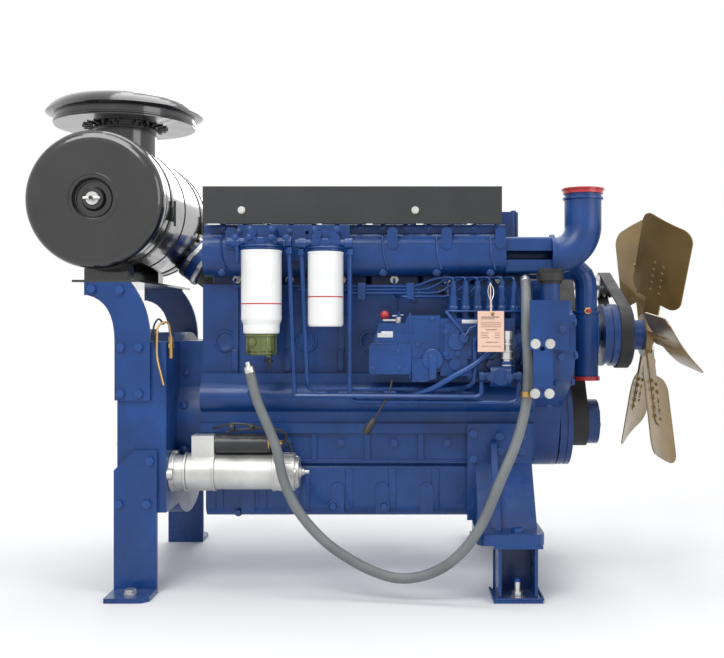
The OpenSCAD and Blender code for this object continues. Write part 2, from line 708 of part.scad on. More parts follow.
module intake_elbow() color(blue) {
  x0 = log_x1 + neck_len;
  translate([elb_x-elb_bend,elb_y,elb_z+elb_bend]) rotate([90,0,0]) rotate([0,0,-90])
    rotate_extrude(angle = 90) translate([elb_bend,0]) ring_2d(elb_r,elb_wall);
  translate([x0,elb_y,elb_z]) rotate([0,90,0]) linear_extrude(elb_x-elb_bend-x0) ring_2d(elb_r,elb_wall);
  translate([x0,elb_y,elb_z]) rotate([0,90,0]) linear_extrude(elb_flange) ring_2d(elb_r+elb_flange,
    elb_flange+elb_wall);
  translate([elb_x,elb_y,elb_z+elb_bend]) linear_extrude(elb_top-elb_z-elb_bend) ring_2d(elb_r,elb_wall);
}
module ring_2d(r,wall) difference() {
  circle(r = r);
  circle(r = r - wall);
}
elb_wall = 6;
elb_flange = 9;
module intake_cap() color(red) translate([elb_x,elb_y,0]) difference() {
  union() {
    zcyl(elb_r + cap_over,elb_top - cap_h/2,elb_top + cap_t);
    zcyl(elb_r + 2*cap_over,elb_top + cap_t/3,elb_top + cap_t);
  }
  zcyl(elb_r + gap,elb_top - cap_h,elb_top);
}
cap_over = 4;
cap_t = 6;

// Bare cover plate over the manifold on two standoffs
plate_x0 = 214;
plate_x1 = 1016;
plate_z0 = 552;
plate_z1 = 652;
plate_t = 3;
plate_off = 8;
plate_y = log_y - plate_off;
plate_bolt_share = [0.13,0.71];
module cover_plate() color(black) {
  box([plate_x0,plate_y - plate_t,plate_z0],[plate_x1,plate_y,plate_z1]);
  box([plate_x0,plate_y-plate_t,plate_z1-plate_t],[plate_x1,plate_y+plate_lip,plate_z1]);
}
plate_lip = 60;
standoff_r = 9;
plate_bolt_z = deck_z + head_h + rocker_h - 1.2*edge_r;
module plate_bolts() color(silver) for (k = plate_bolt_share) let (x = plate_x0+k*(plate_x1-plate_x0)) {
  ycyl(standoff_r,plate_y,-rocker_w/2 - gap,x,plate_bolt_z);
  hex_bolt([x,plate_y - plate_t,plate_bolt_z],m12*0.8);
}

// Fuel filter bracket, heads, cans
sep_x = 380;
sep_z0 = 258;
fuel_filter_x = 548;
fuel_filter_z0 = 276;
filter_out = 72;
filter_y = log_y - filter_out;
brk_plate = [308,608,452,548];
pod_h = 34;
pod_r_share = 0.42;
module filter_bracket() color(blue) difference() {
  box([brk_plate[0],log_y - brk_plate_t - boss_t,brk_plate[2]],
    [brk_plate[1],log_y - boss_t,brk_plate[3]]);
  for (k = [0.14,0.32,0.62,0.76])
    translate([brk_plate[0]+k*(brk_plate[1]-brk_plate[0]),log_y,brk_plate[3]-brk_hole_r*4])
      rotate([90,0,0]) cylinder(r = brk_hole_r,h = log_w,center = true);
}
brk_plate_t = 8;
brk_hole_r = 5;
module filter_head(x,z,d) {
  zcyl(d*pod_r_share,z,z + pod_h*0.45,x,filter_y);
  rbox([x-d*0.4,filter_y-pod_h/2,z+pod_h*0.3],[x+d*0.4,filter_y+pod_h/2,z+pod_h],edge_r/2,"z");
  xcyl(pod_h*0.32,x-d*0.85,x+d*0.72,filter_y,z+pod_h*0.62);
  for (s = [-1,1]) xcyl(pod_h*0.42,x+s*d*0.68-pod_h/5,x+s*d*0.68+pod_h/5,filter_y,z+pod_h*0.62);
  box([x-d*0.34,filter_y,z+pod_h/2],[x+d*0.34,log_y-boss_t-brk_plate_t,z+pod_h*1.7]);
  for (s = [-1,1]) hex_bolt([x+s*d*0.22,filter_y,z+pod_h*1.3],m12);
}
module filter_heads() color(blue) {
  filter_head(sep_x,sep_z0 + separator_h + gap,separator_d);
  filter_head(fuel_filter_x,fuel_filter_z0 + fuel_filter_h + gap,fuel_filter_d);
}
module can(d,h,neck) rotate_extrude() polygon(concat(
  [[0,0],[d*0.3,0]],curve([d*0.42,0],[d/2*neck,0],[d/2*neck,d*0.1]),
  neck < 1 ? [[d/2*neck,d*0.22],[d/2,d*0.34]] : [],
  [[d/2,h - d*0.05],[d/2 - d*0.04,h],[0,h]]));
module water_separator() color(white) translate([sep_x,filter_y,sep_z0]) can(separator_d,separator_h,0.9);
module fuel_filter() color(white) translate([fuel_filter_x,filter_y,fuel_filter_z0]) can(fuel_filter_d,
  fuel_filter_h,1);
bowl_h = 56;
module separator_bowl() color(brass) translate([sep_x,filter_y,sep_z0-bowl_h]) union() {
  zcyl(separator_d*0.36,bowl_h*0.2,bowl_h - gap);
  zcyl(separator_d*0.39,bowl_h - gap - m12,bowl_h - gap);
  zcyl(separator_d*0.33,0,bowl_h*0.25);
  zcyl(drain_boss_r,-m12,m12,separator_d*0.18);
  for (a = [0:60:300]) rotate(a) translate([separator_d*0.34,0,0]) cylinder(r = m12*0.7,h = bowl_h*0.3);
}
drain_boss_r = 8;
drain_knob_h = 30;
module drain_knob() color(black) translate([sep_x+separator_d*0.18,filter_y,
  sep_z0-bowl_h-m12-gap-drain_knob_h]) {
  cylinder(r = drain_boss_r/2,h = drain_knob_h);
  translate([0,0,drain_knob_h*0.55]) cylinder(r = drain_boss_r*1.3,h = drain_knob_h*0.3,$fn = 8);
}

// Injection pump: camshaft box, six elements, governor at its rear end
pump_top = pump_z + pump_h*0.55;
pump_foot = pump_z - pump_h*0.6;
elem_off = 8;
elem_y = pump_y - elem_off;
function element_x(i) = elem_x0 + (i + 0.5)*element_pitch;
module injection_pump() color(blue) difference() {
  union() {
    box([pump_x0,pump_y-pump_w/2,pump_foot],[pump_x1-pump_end,pump_y+pump_w/2,pump_top]);
    xcyl(pump_w/2,pump_x1 - pump_end - cut,pump_x1,pump_y,pump_z);
    xcyl(pump_w*0.6,pump_x1 - pump_end/2,pump_x1,pump_y,pump_z);
    for (i = [0:cyls - 1]) {
      zcyl(element_pitch*0.46,pump_top-cut,pump_top+elem_h*0.3,element_x(i),elem_y);
      zcyl(element_pitch*0.38,pump_top,pump_top+elem_h*0.7,element_x(i),elem_y);
      zcyl(element_pitch*0.3,pump_top,pump_top + elem_h,element_x(i),elem_y);
    }
    box([pump_x0+edge_r,pump_y-pump_w/2-lid_t,pump_foot+pump_h*0.34],
      [pump_x1 - pump_end - edge_r,pump_y,pump_top - pump_h*0.1]);
    for (i = [0:2]) ycyl(element_pitch*0.5,pump_y-pump_w/2-lid_t*1.6,pump_y,
      pump_x0 + element_pitch*(1.2 + 1.7*i),pump_foot + pump_h*0.24);
    box([pump_x0,pump_y,pump_foot],[pump_x1-pump_end,-block_w/2-rib_t-gap,pump_foot+edge_r*2]);
  }
  xcyl(pump_shaft_r + run_gap,pump_x0 - cut,pump_x1 + cut,pump_y,pump_z);
}
elem_h = 84;
pump_end = 34;
gov_x0 = 668;
gov_w = 92;
gov_dip = 2;
gov_top = pump_top - gov_dip;
gov_foot = 158;
gov_split = 222;
module governor() color(blue) union() {
  // tall part beside the pump, sloping nose, low box
  translate([0,gov_y1,0]) rotate([90,0,0]) linear_extrude(gov_w) polygon([
    [pump_x0-gap,gov_foot],[pump_x0-gap,gov_top+edge_r],[pump_x0-gov_step,gov_top+edge_r],
    [pump_x0-gov_step-edge_r,gov_top-edge_r],[gov_x0+edge_r*2,gov_top-edge_r],
    [gov_x0,gov_split],[pump_x0-gov_tall,gov_split],[pump_x0-gov_tall,gov_foot]]);
  rbox([gov_x0-m12,gov_y1-gov_w-m12,gov_low],[gov_x0+gov_box,gov_y1,gov_split+edge_r],edge_r,"y");
  for (x = [gov_x0+edge_r*2,gov_x0+gov_box,pump_x0-gov_tall],z = [gov_top-edge_r*3])
    hex_bolt([x,gov_y1 - gov_w,z],m12/2);
  ycyl(gov_disc_r,gov_y1-gov_w-lid_t,gov_y1,gov_disc_x,gov_disc_z);
  box([gov_disc_x-gov_disc_r,gov_y1-gov_w-m12,gov_disc_z-gov_disc_r],
    [gov_disc_x,gov_y1 - gov_w/2,gov_disc_z + gov_disc_r]);
}
gov_y1 = -208;
gov_step = 84;
gov_tall = 96;
gov_box = 104;
gov_low = 152;
gov_disc_r = 30;
gov_disc_x = 804;
gov_disc_z = 162;
module governor_lever() color(silver) {
  difference() {
    union() {
      translate([lever_x,lever_y,lever_z+gap]) cylinder(r = lever_hub_r,h = lever_t*3);
      translate([lever_x,lever_y,lever_z+gap+lever_t]) rotate(180) rbox([0,-lever_hub_r*0.6,0],[lever_len,
        lever_hub_r*0.6,lever_t],lever_t,"z");
      translate([lever_x,lever_y,lever_z+gap+lever_t]) rotate(-90) rbox([0,-lever_hub_r*0.6,0],
        [lever_len*0.55,lever_hub_r*0.6,lever_t],lever_t,"z");
    }
    zcyl(lever_pin_r + run_gap,lever_z,lever_z + lever_len,lever_x,lever_y);
  }
}
lever_pin_r = 4;
lever_x = 740;
lever_in = 50;
lever_y = gov_y1 - lever_in;
lever_z = gov_top - edge_r;
lever_len = 44;
lever_hub_r = 10;
lever_t = 5;
knob_r = 12;
module lever_knob() color(red) translate([lever_x-lever_len+lever_hub_r*0.6,lever_y,lever_z+gap+2*lever_t+
  knob_r*0.9])
  difference() {
    sphere(r = knob_r);
    translate([0,0,-knob_r*1.9]) cube(2*knob_r,center = true);
  }
module lever_pin() color(steel) {
  zcyl(lever_pin_r,lever_z,lever_z + 6*lever_t,lever_x,lever_y);
  translate([0,0,gap]) zcyl(lever_pin_r*2,lever_z+gap+3*lever_t,lever_z+4*lever_t,lever_x,lever_y);
}

// Fuel pipes between filters, feed pump and injection pump
head_line_z = pod_h*0.2;
rail_z = 96;
rail_gap = 15;
pipe_y = filter_y;
pipe_bend = 26;
sep_pipe_x = sep_x + separator_d*0.68;
fine_pipe_x = fuel_filter_x - fuel_filter_d*0.68;
out_pipe_x = fuel_filter_x + fuel_filter_d*0.68;
sep_pipe_z = sep_z0 + separator_h + head_line_z;
fine_pipe_z = fuel_filter_z0 + fuel_filter_h + head_line_z;
feed_x = 1000;
feed_z = 148;
feed_out = 34;
feed_y = pump_y - pump_w/2 - feed_out;
riser_x = 936;
riser_y = -330;
pump_face = pump_y - pump_w/2 - lid_t - gap;
module fuel_pipes() color(blue) {
  r = fuel_pipe_d/2;
  tube(rounded([[sep_pipe_x,pipe_y,sep_pipe_z],[sep_pipe_x+rail_gap,pipe_y,rail_z],[fine_pipe_x-rail_gap,
    pipe_y,rail_z],
    [feed_x-feed_reach,feed_y,rail_z],[feed_x-feed_reach,feed_y,feed_z-feed_r/2]],pipe_bend),r);
  tube(rounded([[fine_pipe_x,pipe_y,fine_pipe_z],[fine_pipe_x+rail_gap,pipe_y,rail_z+3*rail_gap],
    [fine_pipe_x+rail_gap,pipe_y+rail_gap,rail_z+rail_gap],[riser_x-2*pipe_bend,pipe_y+rail_gap,rail_z+
      rail_gap],
    [riser_x,riser_y,rail_z+2*rail_gap],[riser_x,riser_y,pump_z+rail_gap],[riser_x,pump_face,pump_z+
      rail_gap]],pipe_bend),r);
  tube(rounded([[out_pipe_x,pipe_y,fine_pipe_z],[out_pipe_x,pipe_y,rail_z-rail_gap],
    [feed_x+feed_reach,feed_y,rail_z-rail_gap],[feed_x+feed_reach,feed_y,feed_z-feed_r/2]],pipe_bend),r);
  for (p = [[sep_pipe_x,sep_pipe_z],[fine_pipe_x,fine_pipe_z],[out_pipe_x,fine_pipe_z]])
    zcyl(r*1.8,p[1] - pipe_nut_h,p[1],p[0],pipe_y);
}
pipe_nut_h = 16;
feed_reach = 48;
feed_r = 26;
plunger_r = 12;

pipe_clip_x = [717,920];
module pipe_clips() color(blue) for (x = pipe_clip_x)
  difference() {
    rbox([x-clip_w/2,pipe_y-fuel_pipe_d,rail_z-rail_gap-fuel_pipe_d],[x+clip_w/2,pipe_y+fuel_pipe_d*0.9,
      rail_z+fuel_pipe_d],4*plate_t/3,"x");
    for (z = [rail_z,rail_z-rail_gap]) xcyl(fuel_pipe_d/2+gap,x-clip_w,x+clip_w,pipe_y,z);
  }
clip_w = 30;

module feed_pump() color(blue) {
  difference() {
    union() {
      xcyl(feed_r,feed_x - feed_r,feed_x + feed_r,feed_y,feed_z);
      ycyl(feed_r*0.8,feed_y - feed_r*1.1,pump_y,feed_x,feed_z);
      xcyl(feed_r*0.4,feed_x-feed_reach-m12,feed_x+feed_reach+m12,feed_y,feed_z);
      zcyl(plunger_r*1.4,feed_z,feed_z + feed_r*1.5,primer_x,feed_y);
    }
    zcyl(plunger_r*0.5+run_gap,feed_z+feed_r/2,feed_z+2*feed_r,primer_x,feed_y);
  }
  for (s = [-1,1]) xcyl(feed_r*0.5,feed_x+s*feed_reach-m12,feed_x+s*feed_reach+m12,feed_y,feed_z);
}
primer_off = 18;
primer_x = feed_x + primer_off;
primer_h = 78;
primer_stroke = 24;
module primer_plunger() color(silver) {
  zcyl(plunger_r*0.5,feed_z+feed_r/2+primer_stroke/20,feed_z+feed_r*1.5+gap+cut,primer_x,feed_y);
  zcyl(plunger_r,feed_z+feed_r*1.5+gap,feed_z+feed_r*1.5+primer_h,primer_x,feed_y);
  zcyl(plunger_r*1.3,feed_z+feed_r*1.5+primer_h*0.72,feed_z+feed_r*1.5+primer_h,primer_x,feed_y);
  zcyl(plunger_r*1.2,feed_z+feed_r*1.5+primer_h*0.1,feed_z+feed_r*1.5+primer_h*0.3,primer_x,feed_y);
}

// High pressure pipes: up from each element, along the engine and back to its injector
hp_rise = 24;
hp_z = pump_top + elem_h;
hp_run_z = 384;
hp_step = 9;
hp_bend = 24;
hp_y = filter_y + separator_d/2 + 2*hp_step;
function hp_path(e) = let (x = element_x(e),z = hp_run_z-e*hp_step,b = bore_x(e),up = hp_z+hp_rise,
  rise = [[x,elem_y,hp_z],[x,elem_y,up]],into = [b,inj_end_y-2*injector_pipe_d,inj_z],end = [b,
    inj_end_y-gap,inj_z])
  b + hp_bend < x - hp_lead
    ? concat(rise,[[x-2*hp_rise,hp_y,up],[x-hp_lead,hp_y,z],[b+hp_bend,hp_y,z],[b,hp_y+hp_bend,z],into,
      end])
    : concat(rise,[[b,hp_y,up],into,end]);
hp_lead = 96;
inj_z = 406;
inj_end_y = -head_w/2 - inj_up;
module injector_pipes() color(blue) for (i = [0:cyls - 1]) {
  tube(rounded(hp_path(i),hp_bend,3),injector_pipe_d/2,6);
  zcyl(injector_pipe_d*1.1,hp_z,hp_z+2*injector_pipe_d,element_x(i),elem_y);
}
module injectors() color(steel) for (i = [0:cyls - 1]) {
  ycyl(inj_r,-head_w/2-inj_cap_h,-head_w/2+inj_in,bore_x(i),inj_z);
  translate([bore_x(i),-head_w/2,inj_z]) rotate([90,0,0]) cylinder(r = inj_r*1.1,h = inj_cap_h,$fn = 6);
  ycyl(inj_r*0.6,inj_end_y,-head_w/2,bore_x(i),inj_z);
}
inj_in = 60;
hp_clamp_x = [640,770];
module hp_clamps() color(blue) for (x = hp_clamp_x) difference() {
  rbox([x-clip_w/3,hp_y-hp_step,hp_run_z-4*hp_step],[x+clip_w/3,hp_y+hp_step,hp_run_z+hp_step],
    2*plate_t/3,"x");
  for (k = [0:3]) xcyl(injector_pipe_d/2+gap,x-clip_w,x+clip_w,hp_y,hp_run_z-k*hp_step);
}

// Starter motor with its solenoid, and the pinion that slides out to the ring gear
start_x0 = housing_len;
start_nose = 118;
start_body = 158;
start_end = 92;
coil_up = 72;
coil_in = 86;
coil_x0 = start_x0 + coil_in;
coil_len = 180;
pinion_w = 18;
pinion_throw = 24;
start_flange_t = 14;
start_ear_r = 16;
pinion_shaft_r = 9;
start_mid_x = start_x0 + start_nose;
start_tail_x = start_mid_x + start_body;
module starter_housing() color(silver) difference() {
  union() {
    translate([start_x0,start_y,start_z]) rotate([90,0,90]) linear_extrude(start_flange_t) union() {
      circle(r = start_r);
      for (a = [60,180,300]) rotate(a) translate([start_r*0.9,0]) circle(r = start_ear_r);
    }
    xcyl(start_r*0.9,start_x0,start_mid_x,start_y,start_z);
    xcyl(start_r,start_x0+start_nose*0.4,start_mid_x,start_y,start_z);
    box([start_x0 + start_nose*0.5,start_y - coil_r,start_z],
      [start_mid_x,start_y + coil_r,start_z + coil_up + coil_r]);
    xcyl(start_r,start_tail_x,start_tail_x+start_end*0.6,start_y,start_z);
    xcyl(start_r*0.8,start_tail_x,start_tail_x+start_end*0.72,start_y,start_z);
  }
  xcyl(pinion_room_r,start_x0-cut,start_x0+start_nose*0.4,start_y,start_z);
  xcyl(pinion_shaft_r+run_gap,start_x0,start_mid_x-plate_t,start_y,start_z);
}
module starter_motor_case() color(steel) {
  xcyl(start_r - plate_t,start_mid_x,start_tail_x,start_y,start_z);
  xcyl(m12*0.9,start_tail_x+start_end*0.72,start_tail_x+start_end,start_y,start_z);
  xcyl(m12*1.6,start_tail_x+start_end*0.76,start_tail_x+start_end*0.86,start_y,start_z);
}
module starter_solenoid() color(black) {
  xcyl(coil_r,start_mid_x,coil_x0+coil_len,start_y,start_z+coil_up+plate_t);
  for (s = [-1,1])
    xcyl(m12,coil_x0+coil_len,coil_x0+coil_len+4*m12,start_y+s*coil_r/2,start_z+coil_up+plate_t);
}
module starter_pinion() color(steel) {
  x_gear(pinion_teeth,ring_m,wheel_x1+plate_t,start_y,start_z,pinion_w,pinion_turn,3*backlash);
  xcyl(pinion_shaft_r,wheel_x1+plate_t,start_x0+start_nose*0.7,start_y,start_z);
}

// Timing case, its gears and the front cover
case_pad_r = 116;
case_wall = 9;
case_back = 12;
function gear_tip(n) = n*gear_m/2 + 2*gear_m;
module lobe_pair(a,ra,b,rb) hull() {
  translate(a) circle(r = ra);
  translate(b) circle(r = rb);
}
module case_outline(grow) union() {
  lobe_pair([0,0],case_pad_r + grow,idler_at,gear_tip(idler_teeth) + grow);
  lobe_pair([pump_y,pump_z],gear_tip(pump_teeth)+grow,idler_at,gear_tip(idler_teeth)+grow);
  lobe_pair(cam_at,gear_tip(cam_teeth)+grow,idler_at,gear_tip(idler_teeth)+grow);
}
module timing_case() color(blue) translate([case_x0-gap,0,0]) rotate([90,0,90]) difference() {
  linear_extrude(case_depth + gap) case_outline(case_wall);
  translate([0,0,case_back]) linear_extrude(case_depth + cut) case_outline(0);
  translate([0,0,-cut]) cylinder(r = nose_r + gap,h = case_depth);
  translate([cam_at[0],cam_at[1],-cut]) cylinder(r = cam_r + gap,h = case_depth);
  translate([pump_y,pump_z,-cut]) cylinder(r = pump_shaft_r + gap,h = case_depth);
}
module timing_cover() color(blue) translate([case_x0+case_depth,0,0]) rotate([90,0,90]) difference() {
  union() {
    linear_extrude(cover_t) case_outline(case_wall);
    cylinder(r = nose_r + 2*case_wall,h = cover_t);
  }
  translate([0,0,-cut]) cylinder(r = nose_r + gap,h = cover_t*2 + cut);
}

// Gears and shafts inside the timing case
module crank_gear() color(steel) difference() {
  x_gear(crank_teeth,gear_m,gear_x0,0,0,gear_w);
  xcyl(nose_r,gear_x0 - cut,gear_x0 + gear_w + cut);
}
module idler_gear() color(steel) difference() {
  x_gear(idler_teeth,gear_m,gear_x0,idler_at[0],idler_at[1],gear_w,idler_turn);
  xcyl(idler_pin_r+run_gap,gear_x0-cut,gear_x0+gear_w+cut,idler_at[0],idler_at[1]);
}
module idler_pin() color(steel)
  xcyl(idler_pin_r,case_x0+case_back-gap,case_x0+case_depth,idler_at[0],idler_at[1]);
module cam_gear() color(steel)
  x_gear(cam_teeth,gear_m,gear_x0,cam_at[0],cam_at[1],gear_w,cam_turn);
module camshaft() color(steel) {
  xcyl(cam_r,block_x0 + lobe_w,gear_x0,cam_at[0],cam_at[1]);
}
lobe_w = 16;
module pump_gear() color(steel)
  x_gear(pump_teeth,gear_m,gear_x0,pump_y,pump_z,gear_w,pump_turn);
module pump_camshaft() color(steel)
  xcyl(pump_shaft_r,pump_x0 + lobe_w,gear_x0,pump_y,pump_z);
module pump_drive_flange() color(blue) difference() {
  xcyl(pump_w*0.6,pump_x1,case_x0 - gap,pump_y,pump_z);
  xcyl(pump_shaft_r + run_gap,pump_x1 - cut,case_x0,pump_y,pump_z);
}

// A sheave on an X shaft: grooves for a number of V belts side by side
belt_pitch = 17;
belt_depth = 10;
module sheave_outline(r,hub,belts) let (w = belts*belt_pitch)
  polygon(concat([[hub,-w/2 - rim_t],[r,-w/2 - rim_t],[r,-w/2]],
    [for (k = [0:belts - 1]) let (x = -w/2 + k*belt_pitch)
      each [[r-belt_depth-groove_extra,x+belt_pitch*0.34],[r-belt_depth-groove_extra,x+belt_pitch*0.66],
        [r,x+belt_pitch]]],
    [[r,w/2 + rim_t],[hub,w/2 + rim_t]]));
rim_t = 5;
groove_extra = 3;
module sheave(r,hub,belts,x,y,z) translate([x,y,z]) rotate([0,90,0]) rotate_extrude() sheave_outline(r,
  hub,belts);
crank_sheave_r = 64;
fan_sheave_r = 90;
jack_sheave_r = 37;
damper_r = 124;
damper_w = 36;
module crank_pulley() color(blue) {
  sheave(crank_sheave_r,nose_r,3,crank_belt_x,0,0);
  difference() {
    xcyl(crank_sheave_r,crank_belt_x + 1.5*belt_pitch + rim_t,crank_x1);
    xcyl(nose_r,crank_belt_x,crank_x1 + cut);
    for (i = [0:5]) rotate([i*60,0,0]) xcyl(m12,crank_x1-3*m12,crank_x1+cut,0,crank_sheave_r*0.8);
  }
}
damper_gap = 4;
damper_x0 = cover_x1 + damper_gap;
module crank_damper() color(deep_blue) difference() {
  union() {
    xcyl(damper_r,damper_x0,damper_x0 + damper_w*0.4);
    xcyl(damper_r - plate_t,damper_x0,damper_x0 + damper_w*0.6);
    xcyl(damper_r,damper_x0 + damper_w*0.6,damper_x0 + damper_w);
  }
  xcyl(nose_r,damper_x0 - cut,damper_x0 + damper_w + cut);
}

// A belt round two sheaves: the band is centred on its three V sections
module belt_2d(r1,r2,p,grow) hull() {
  circle(r = r1 + grow);
  translate(p) circle(r = r2 + grow);
}
belt_out = 2;
belt_band = 4;
module belt(r1,c1,r2,c2,x,belts) color(black)
  translate([x-belts/2*belt_pitch,c1[0],c1[1]]) rotate([90,0,90]) linear_extrude(belts*belt_pitch)
    difference() {
    belt_2d(r1,r2,c2 - c1,belt_out + belt_band);
    belt_2d(r1,r2,c2 - c1,gap);
  }
jack_at = [236,402];
module crank_belt() belt(crank_sheave_r,[0,0],jack_sheave_r,jack_at,crank_belt_x,3);
module fan_belt() belt(fan_sheave_r,[0,fan_z],jack_sheave_r,jack_at,fan_belt_x,2);

// Alternator with a long shaft that takes the crank belts and drives the fan belts
alt_x0 = 1080;
jack_gap = 46;
alt_x1 = crank_belt_x - jack_gap;
alt_r = 72;
jack_shaft_r = 14;
module alternator_body() color(deep_blue) difference() {
  union() {
    xcyl(alt_r,alt_x0,alt_x1,jack_at[0],jack_at[1]);
    xcyl(jack_shaft_r*2,alt_x1-cut,alt_x1+rim_t,jack_at[0],jack_at[1]);
    box([alt_x0-alt_foot,block_w/2+gap,jack_at[1]-2.5*alt_foot],[block_x1,jack_at[0],
      jack_at[1]-alt_foot]);
  }
  xcyl(jack_shaft_r+run_gap,alt_x0+alt_foot,alt_x1+alt_foot,jack_at[0],jack_at[1]);
}
alt_foot = 22;
module alternator_shaft() color(steel) {
  difference() {
    union() {
      xcyl(jack_shaft_r,alt_x0+alt_foot,fan_belt_x+2*belt_pitch,jack_at[0],jack_at[1]);
      sheave(jack_sheave_r,jack_shaft_r - cut,3,crank_belt_x,jack_at[0],jack_at[1]);
    }
  }
  sheave(jack_sheave_r,jack_shaft_r - cut,2,fan_belt_x,jack_at[0],jack_at[1]);
}

// Water pump: volute under the fan shaft, inlet pointing down, outlet pipe up
water_x = 1270;
water_y = -82;
water_r = 34;
inlet_z = 130;
volute_r = 78;
volute_x0 = cover_x1;
volute_x1 = 1320;
fan_shaft_r = 16;
out_top = 440;
out_end_x = bore_x(5) + (bore_pitch - head_gap)/2 + gap;
module water_pump_body() color(blue) difference() {
  union() {
    xcyl(volute_r,volute_x0,crank_belt_x - 1.5*belt_pitch - rim_t,0,fan_z);
    xcyl(fan_shaft_r*2.4,volute_x0,volute_x1,0,fan_z);
    xcyl(fan_shaft_r*2.4,volute_x1 - 2*fan_shaft_r,volute_x1,0,fan_z);
    zcyl(water_r,inlet_z,fan_z + volute_r*0.8,water_x,water_y);
    rbox([water_x-water_r,water_y-water_r*0.4,fan_z-volute_r*0.7],[water_x+water_r,0,fan_z+volute_r*0.7],
      edge_r,"y");
    box([volute_x0,-volute_r,fan_z-volute_r*0.9],[volute_x0+cover_t,volute_r,fan_z+volute_r]);
  }
  xcyl(fan_shaft_r + run_gap,volute_x0 + cover_t,volute_x1 + cut,0,fan_z);
  zcyl(water_r-elb_wall,inlet_z-cut,inlet_z+3*water_r/2,water_x,water_y);
}
module water_outlet() color(blue) {
  tube(rounded([[water_x,water_y,fan_z+volute_r*0.8+gap],[water_x,water_y,out_top],
    [out_end_x+1.5*water_r,water_y/2,out_top],[out_end_x,water_y/2,out_top]],3*water_r,5),
    water_r - elb_wall/2,16);
  zcyl(water_r+m12,fan_z+volute_r*0.8,fan_z+volute_r*0.8+m12,water_x,water_y);
}
module water_inlet_cap() color(red) difference() {
  zcyl(water_r + cap_over,inlet_z - cap_t,inlet_z + cap_h/3,water_x,water_y);
  zcyl(water_r + gap,inlet_z,inlet_z + cap_h,water_x,water_y);
}

// Fan: pulley on the water pump shaft, hub with arms, six cambered blades
blade_r0 = 118;
blade_pitch = 36;
blade_t = 3;
camber_r = 420;
fan_turn = -25;
hub_r = 62;
module fan_pulley() color(blue) difference() {
  union() {
    sheave(fan_sheave_r,fan_shaft_r,2,fan_belt_x,0,fan_z);
    xcyl(fan_sheave_r,volute_x1 + rim_t,volute_x1 + 2.4*rim_t,0,fan_z);
    xcyl(fan_sheave_r - m12,volute_x1 + rim_t,fan_belt_x - belt_pitch,0,fan_z);
    xcyl(fan_sheave_r,volute_x1 + 6*rim_t,fan_belt_x - belt_pitch,0,fan_z);
    xcyl(hub_r*0.7,fan_belt_x,fan_x - 5*blade_t,0,fan_z);
    xcyl(fan_shaft_r,volute_x0 + 2*cover_t,fan_belt_x,0,fan_z);
  }
}
module fan_blades() color(gold) translate([fan_x,0,fan_z]) {
  xcyl(hub_r,-5*blade_t + gap,blade_t);
  xcyl(hub_r*0.5,0,5*blade_t);
  for (k = [0:blade_count - 1]) rotate([fan_turn + k*360/blade_count,0,0]) {
    rotate([0,0,blade_pitch - 90]) intersection() {
      rbox([-blade_chord/2,-blade_chord,blade_r0],[blade_chord/2,blade_chord,fan_r],blade_chord/5,"y");
      translate([0,camber_r,0]) linear_extrude(fan_r) difference() {
        circle(r = camber_r,$fn = 96);
        circle(r = camber_r - blade_t,$fn = 96);
      }
    }
    rotate([0,0,blade_pitch - 90]) difference() {
      rbox([-blade_chord/7,0,hub_r*0.5],[blade_chord/7,2*blade_t,fan_r*0.74],blade_chord/8,"y");
      box([-blade_chord,-cut,0],[blade_chord,3*blade_t,hub_r*0.6]);
    }
    rotate([0,0,blade_pitch - 90]) for (s = [-1,1],j = [0:4])
      translate([s*blade_chord/10,2*blade_t,fan_r*(0.4+0.07*j)]) rotate([-90,0,0]) cylinder(r = m12*0.8,
        h = blade_t,$fn = 6);
  }
}

// Front supports: a cast arm on the block side, standing on a box stand
mount_x0 = 924;
mount_x1 = 1098;
mount_z1 = 4;
pad_t = 16;
foot_x0 = 946;
foot_y0 = -300;
foot_y1 = -404;
stand_top = -274;
foot_t = 28;
arm_bolts = [[940,-12],[940,-80],[1048,-80]];
arm_y = -skirt_w/2 - ledge_t - gap;
module arm_profile(x0,x1,pts) translate([x0,0,0]) rotate([90,0,90]) linear_extrude(x1-x0) polygon(pts);
module front_mount_one() difference() {
  union() {
    box([mount_x0,arm_y-pad_t,stand_top+foot_t],[mount_x1,arm_y,mount_z1+edge_r]);
    // sloping face, and the rib down its middle
    arm_profile(foot_x0,mount_x1,[[arm_y,-arm_split],[arm_y-pad_t,-arm_split],
      [foot_y1+3*foot_t,stand_top+foot_t],[foot_y1+3*foot_t,stand_top+cut],[arm_y,stand_top+cut]]);
    arm_profile(rib_x,rib_x+pad_t,[[arm_y-edge_r,mount_z1-foot_t],[arm_y-2*pad_t,mount_z1-1.5*foot_t],
      [foot_y1+2*foot_t,stand_top+foot_t],[foot_y1+2*foot_t,stand_top+cut],[arm_y-edge_r,stand_top+cut]]);
    rbox([foot_x0-edge_r,foot_y1,stand_top],[mount_x1+edge_r,arm_y,stand_top+foot_t],foot_t,"z");
  }
  zcyl(floor_bolt_r+gap,stand_top-cut,stand_top+2*foot_t,stand_x,foot_y1+foot_t);
}
arm_split = 92;
rib_x = 986;
floor_bolt_r = floor_bolt_d/2;
stand_x = 1040;
stand_half = 62;
stand_web = 8;
stand_y0 = -290;
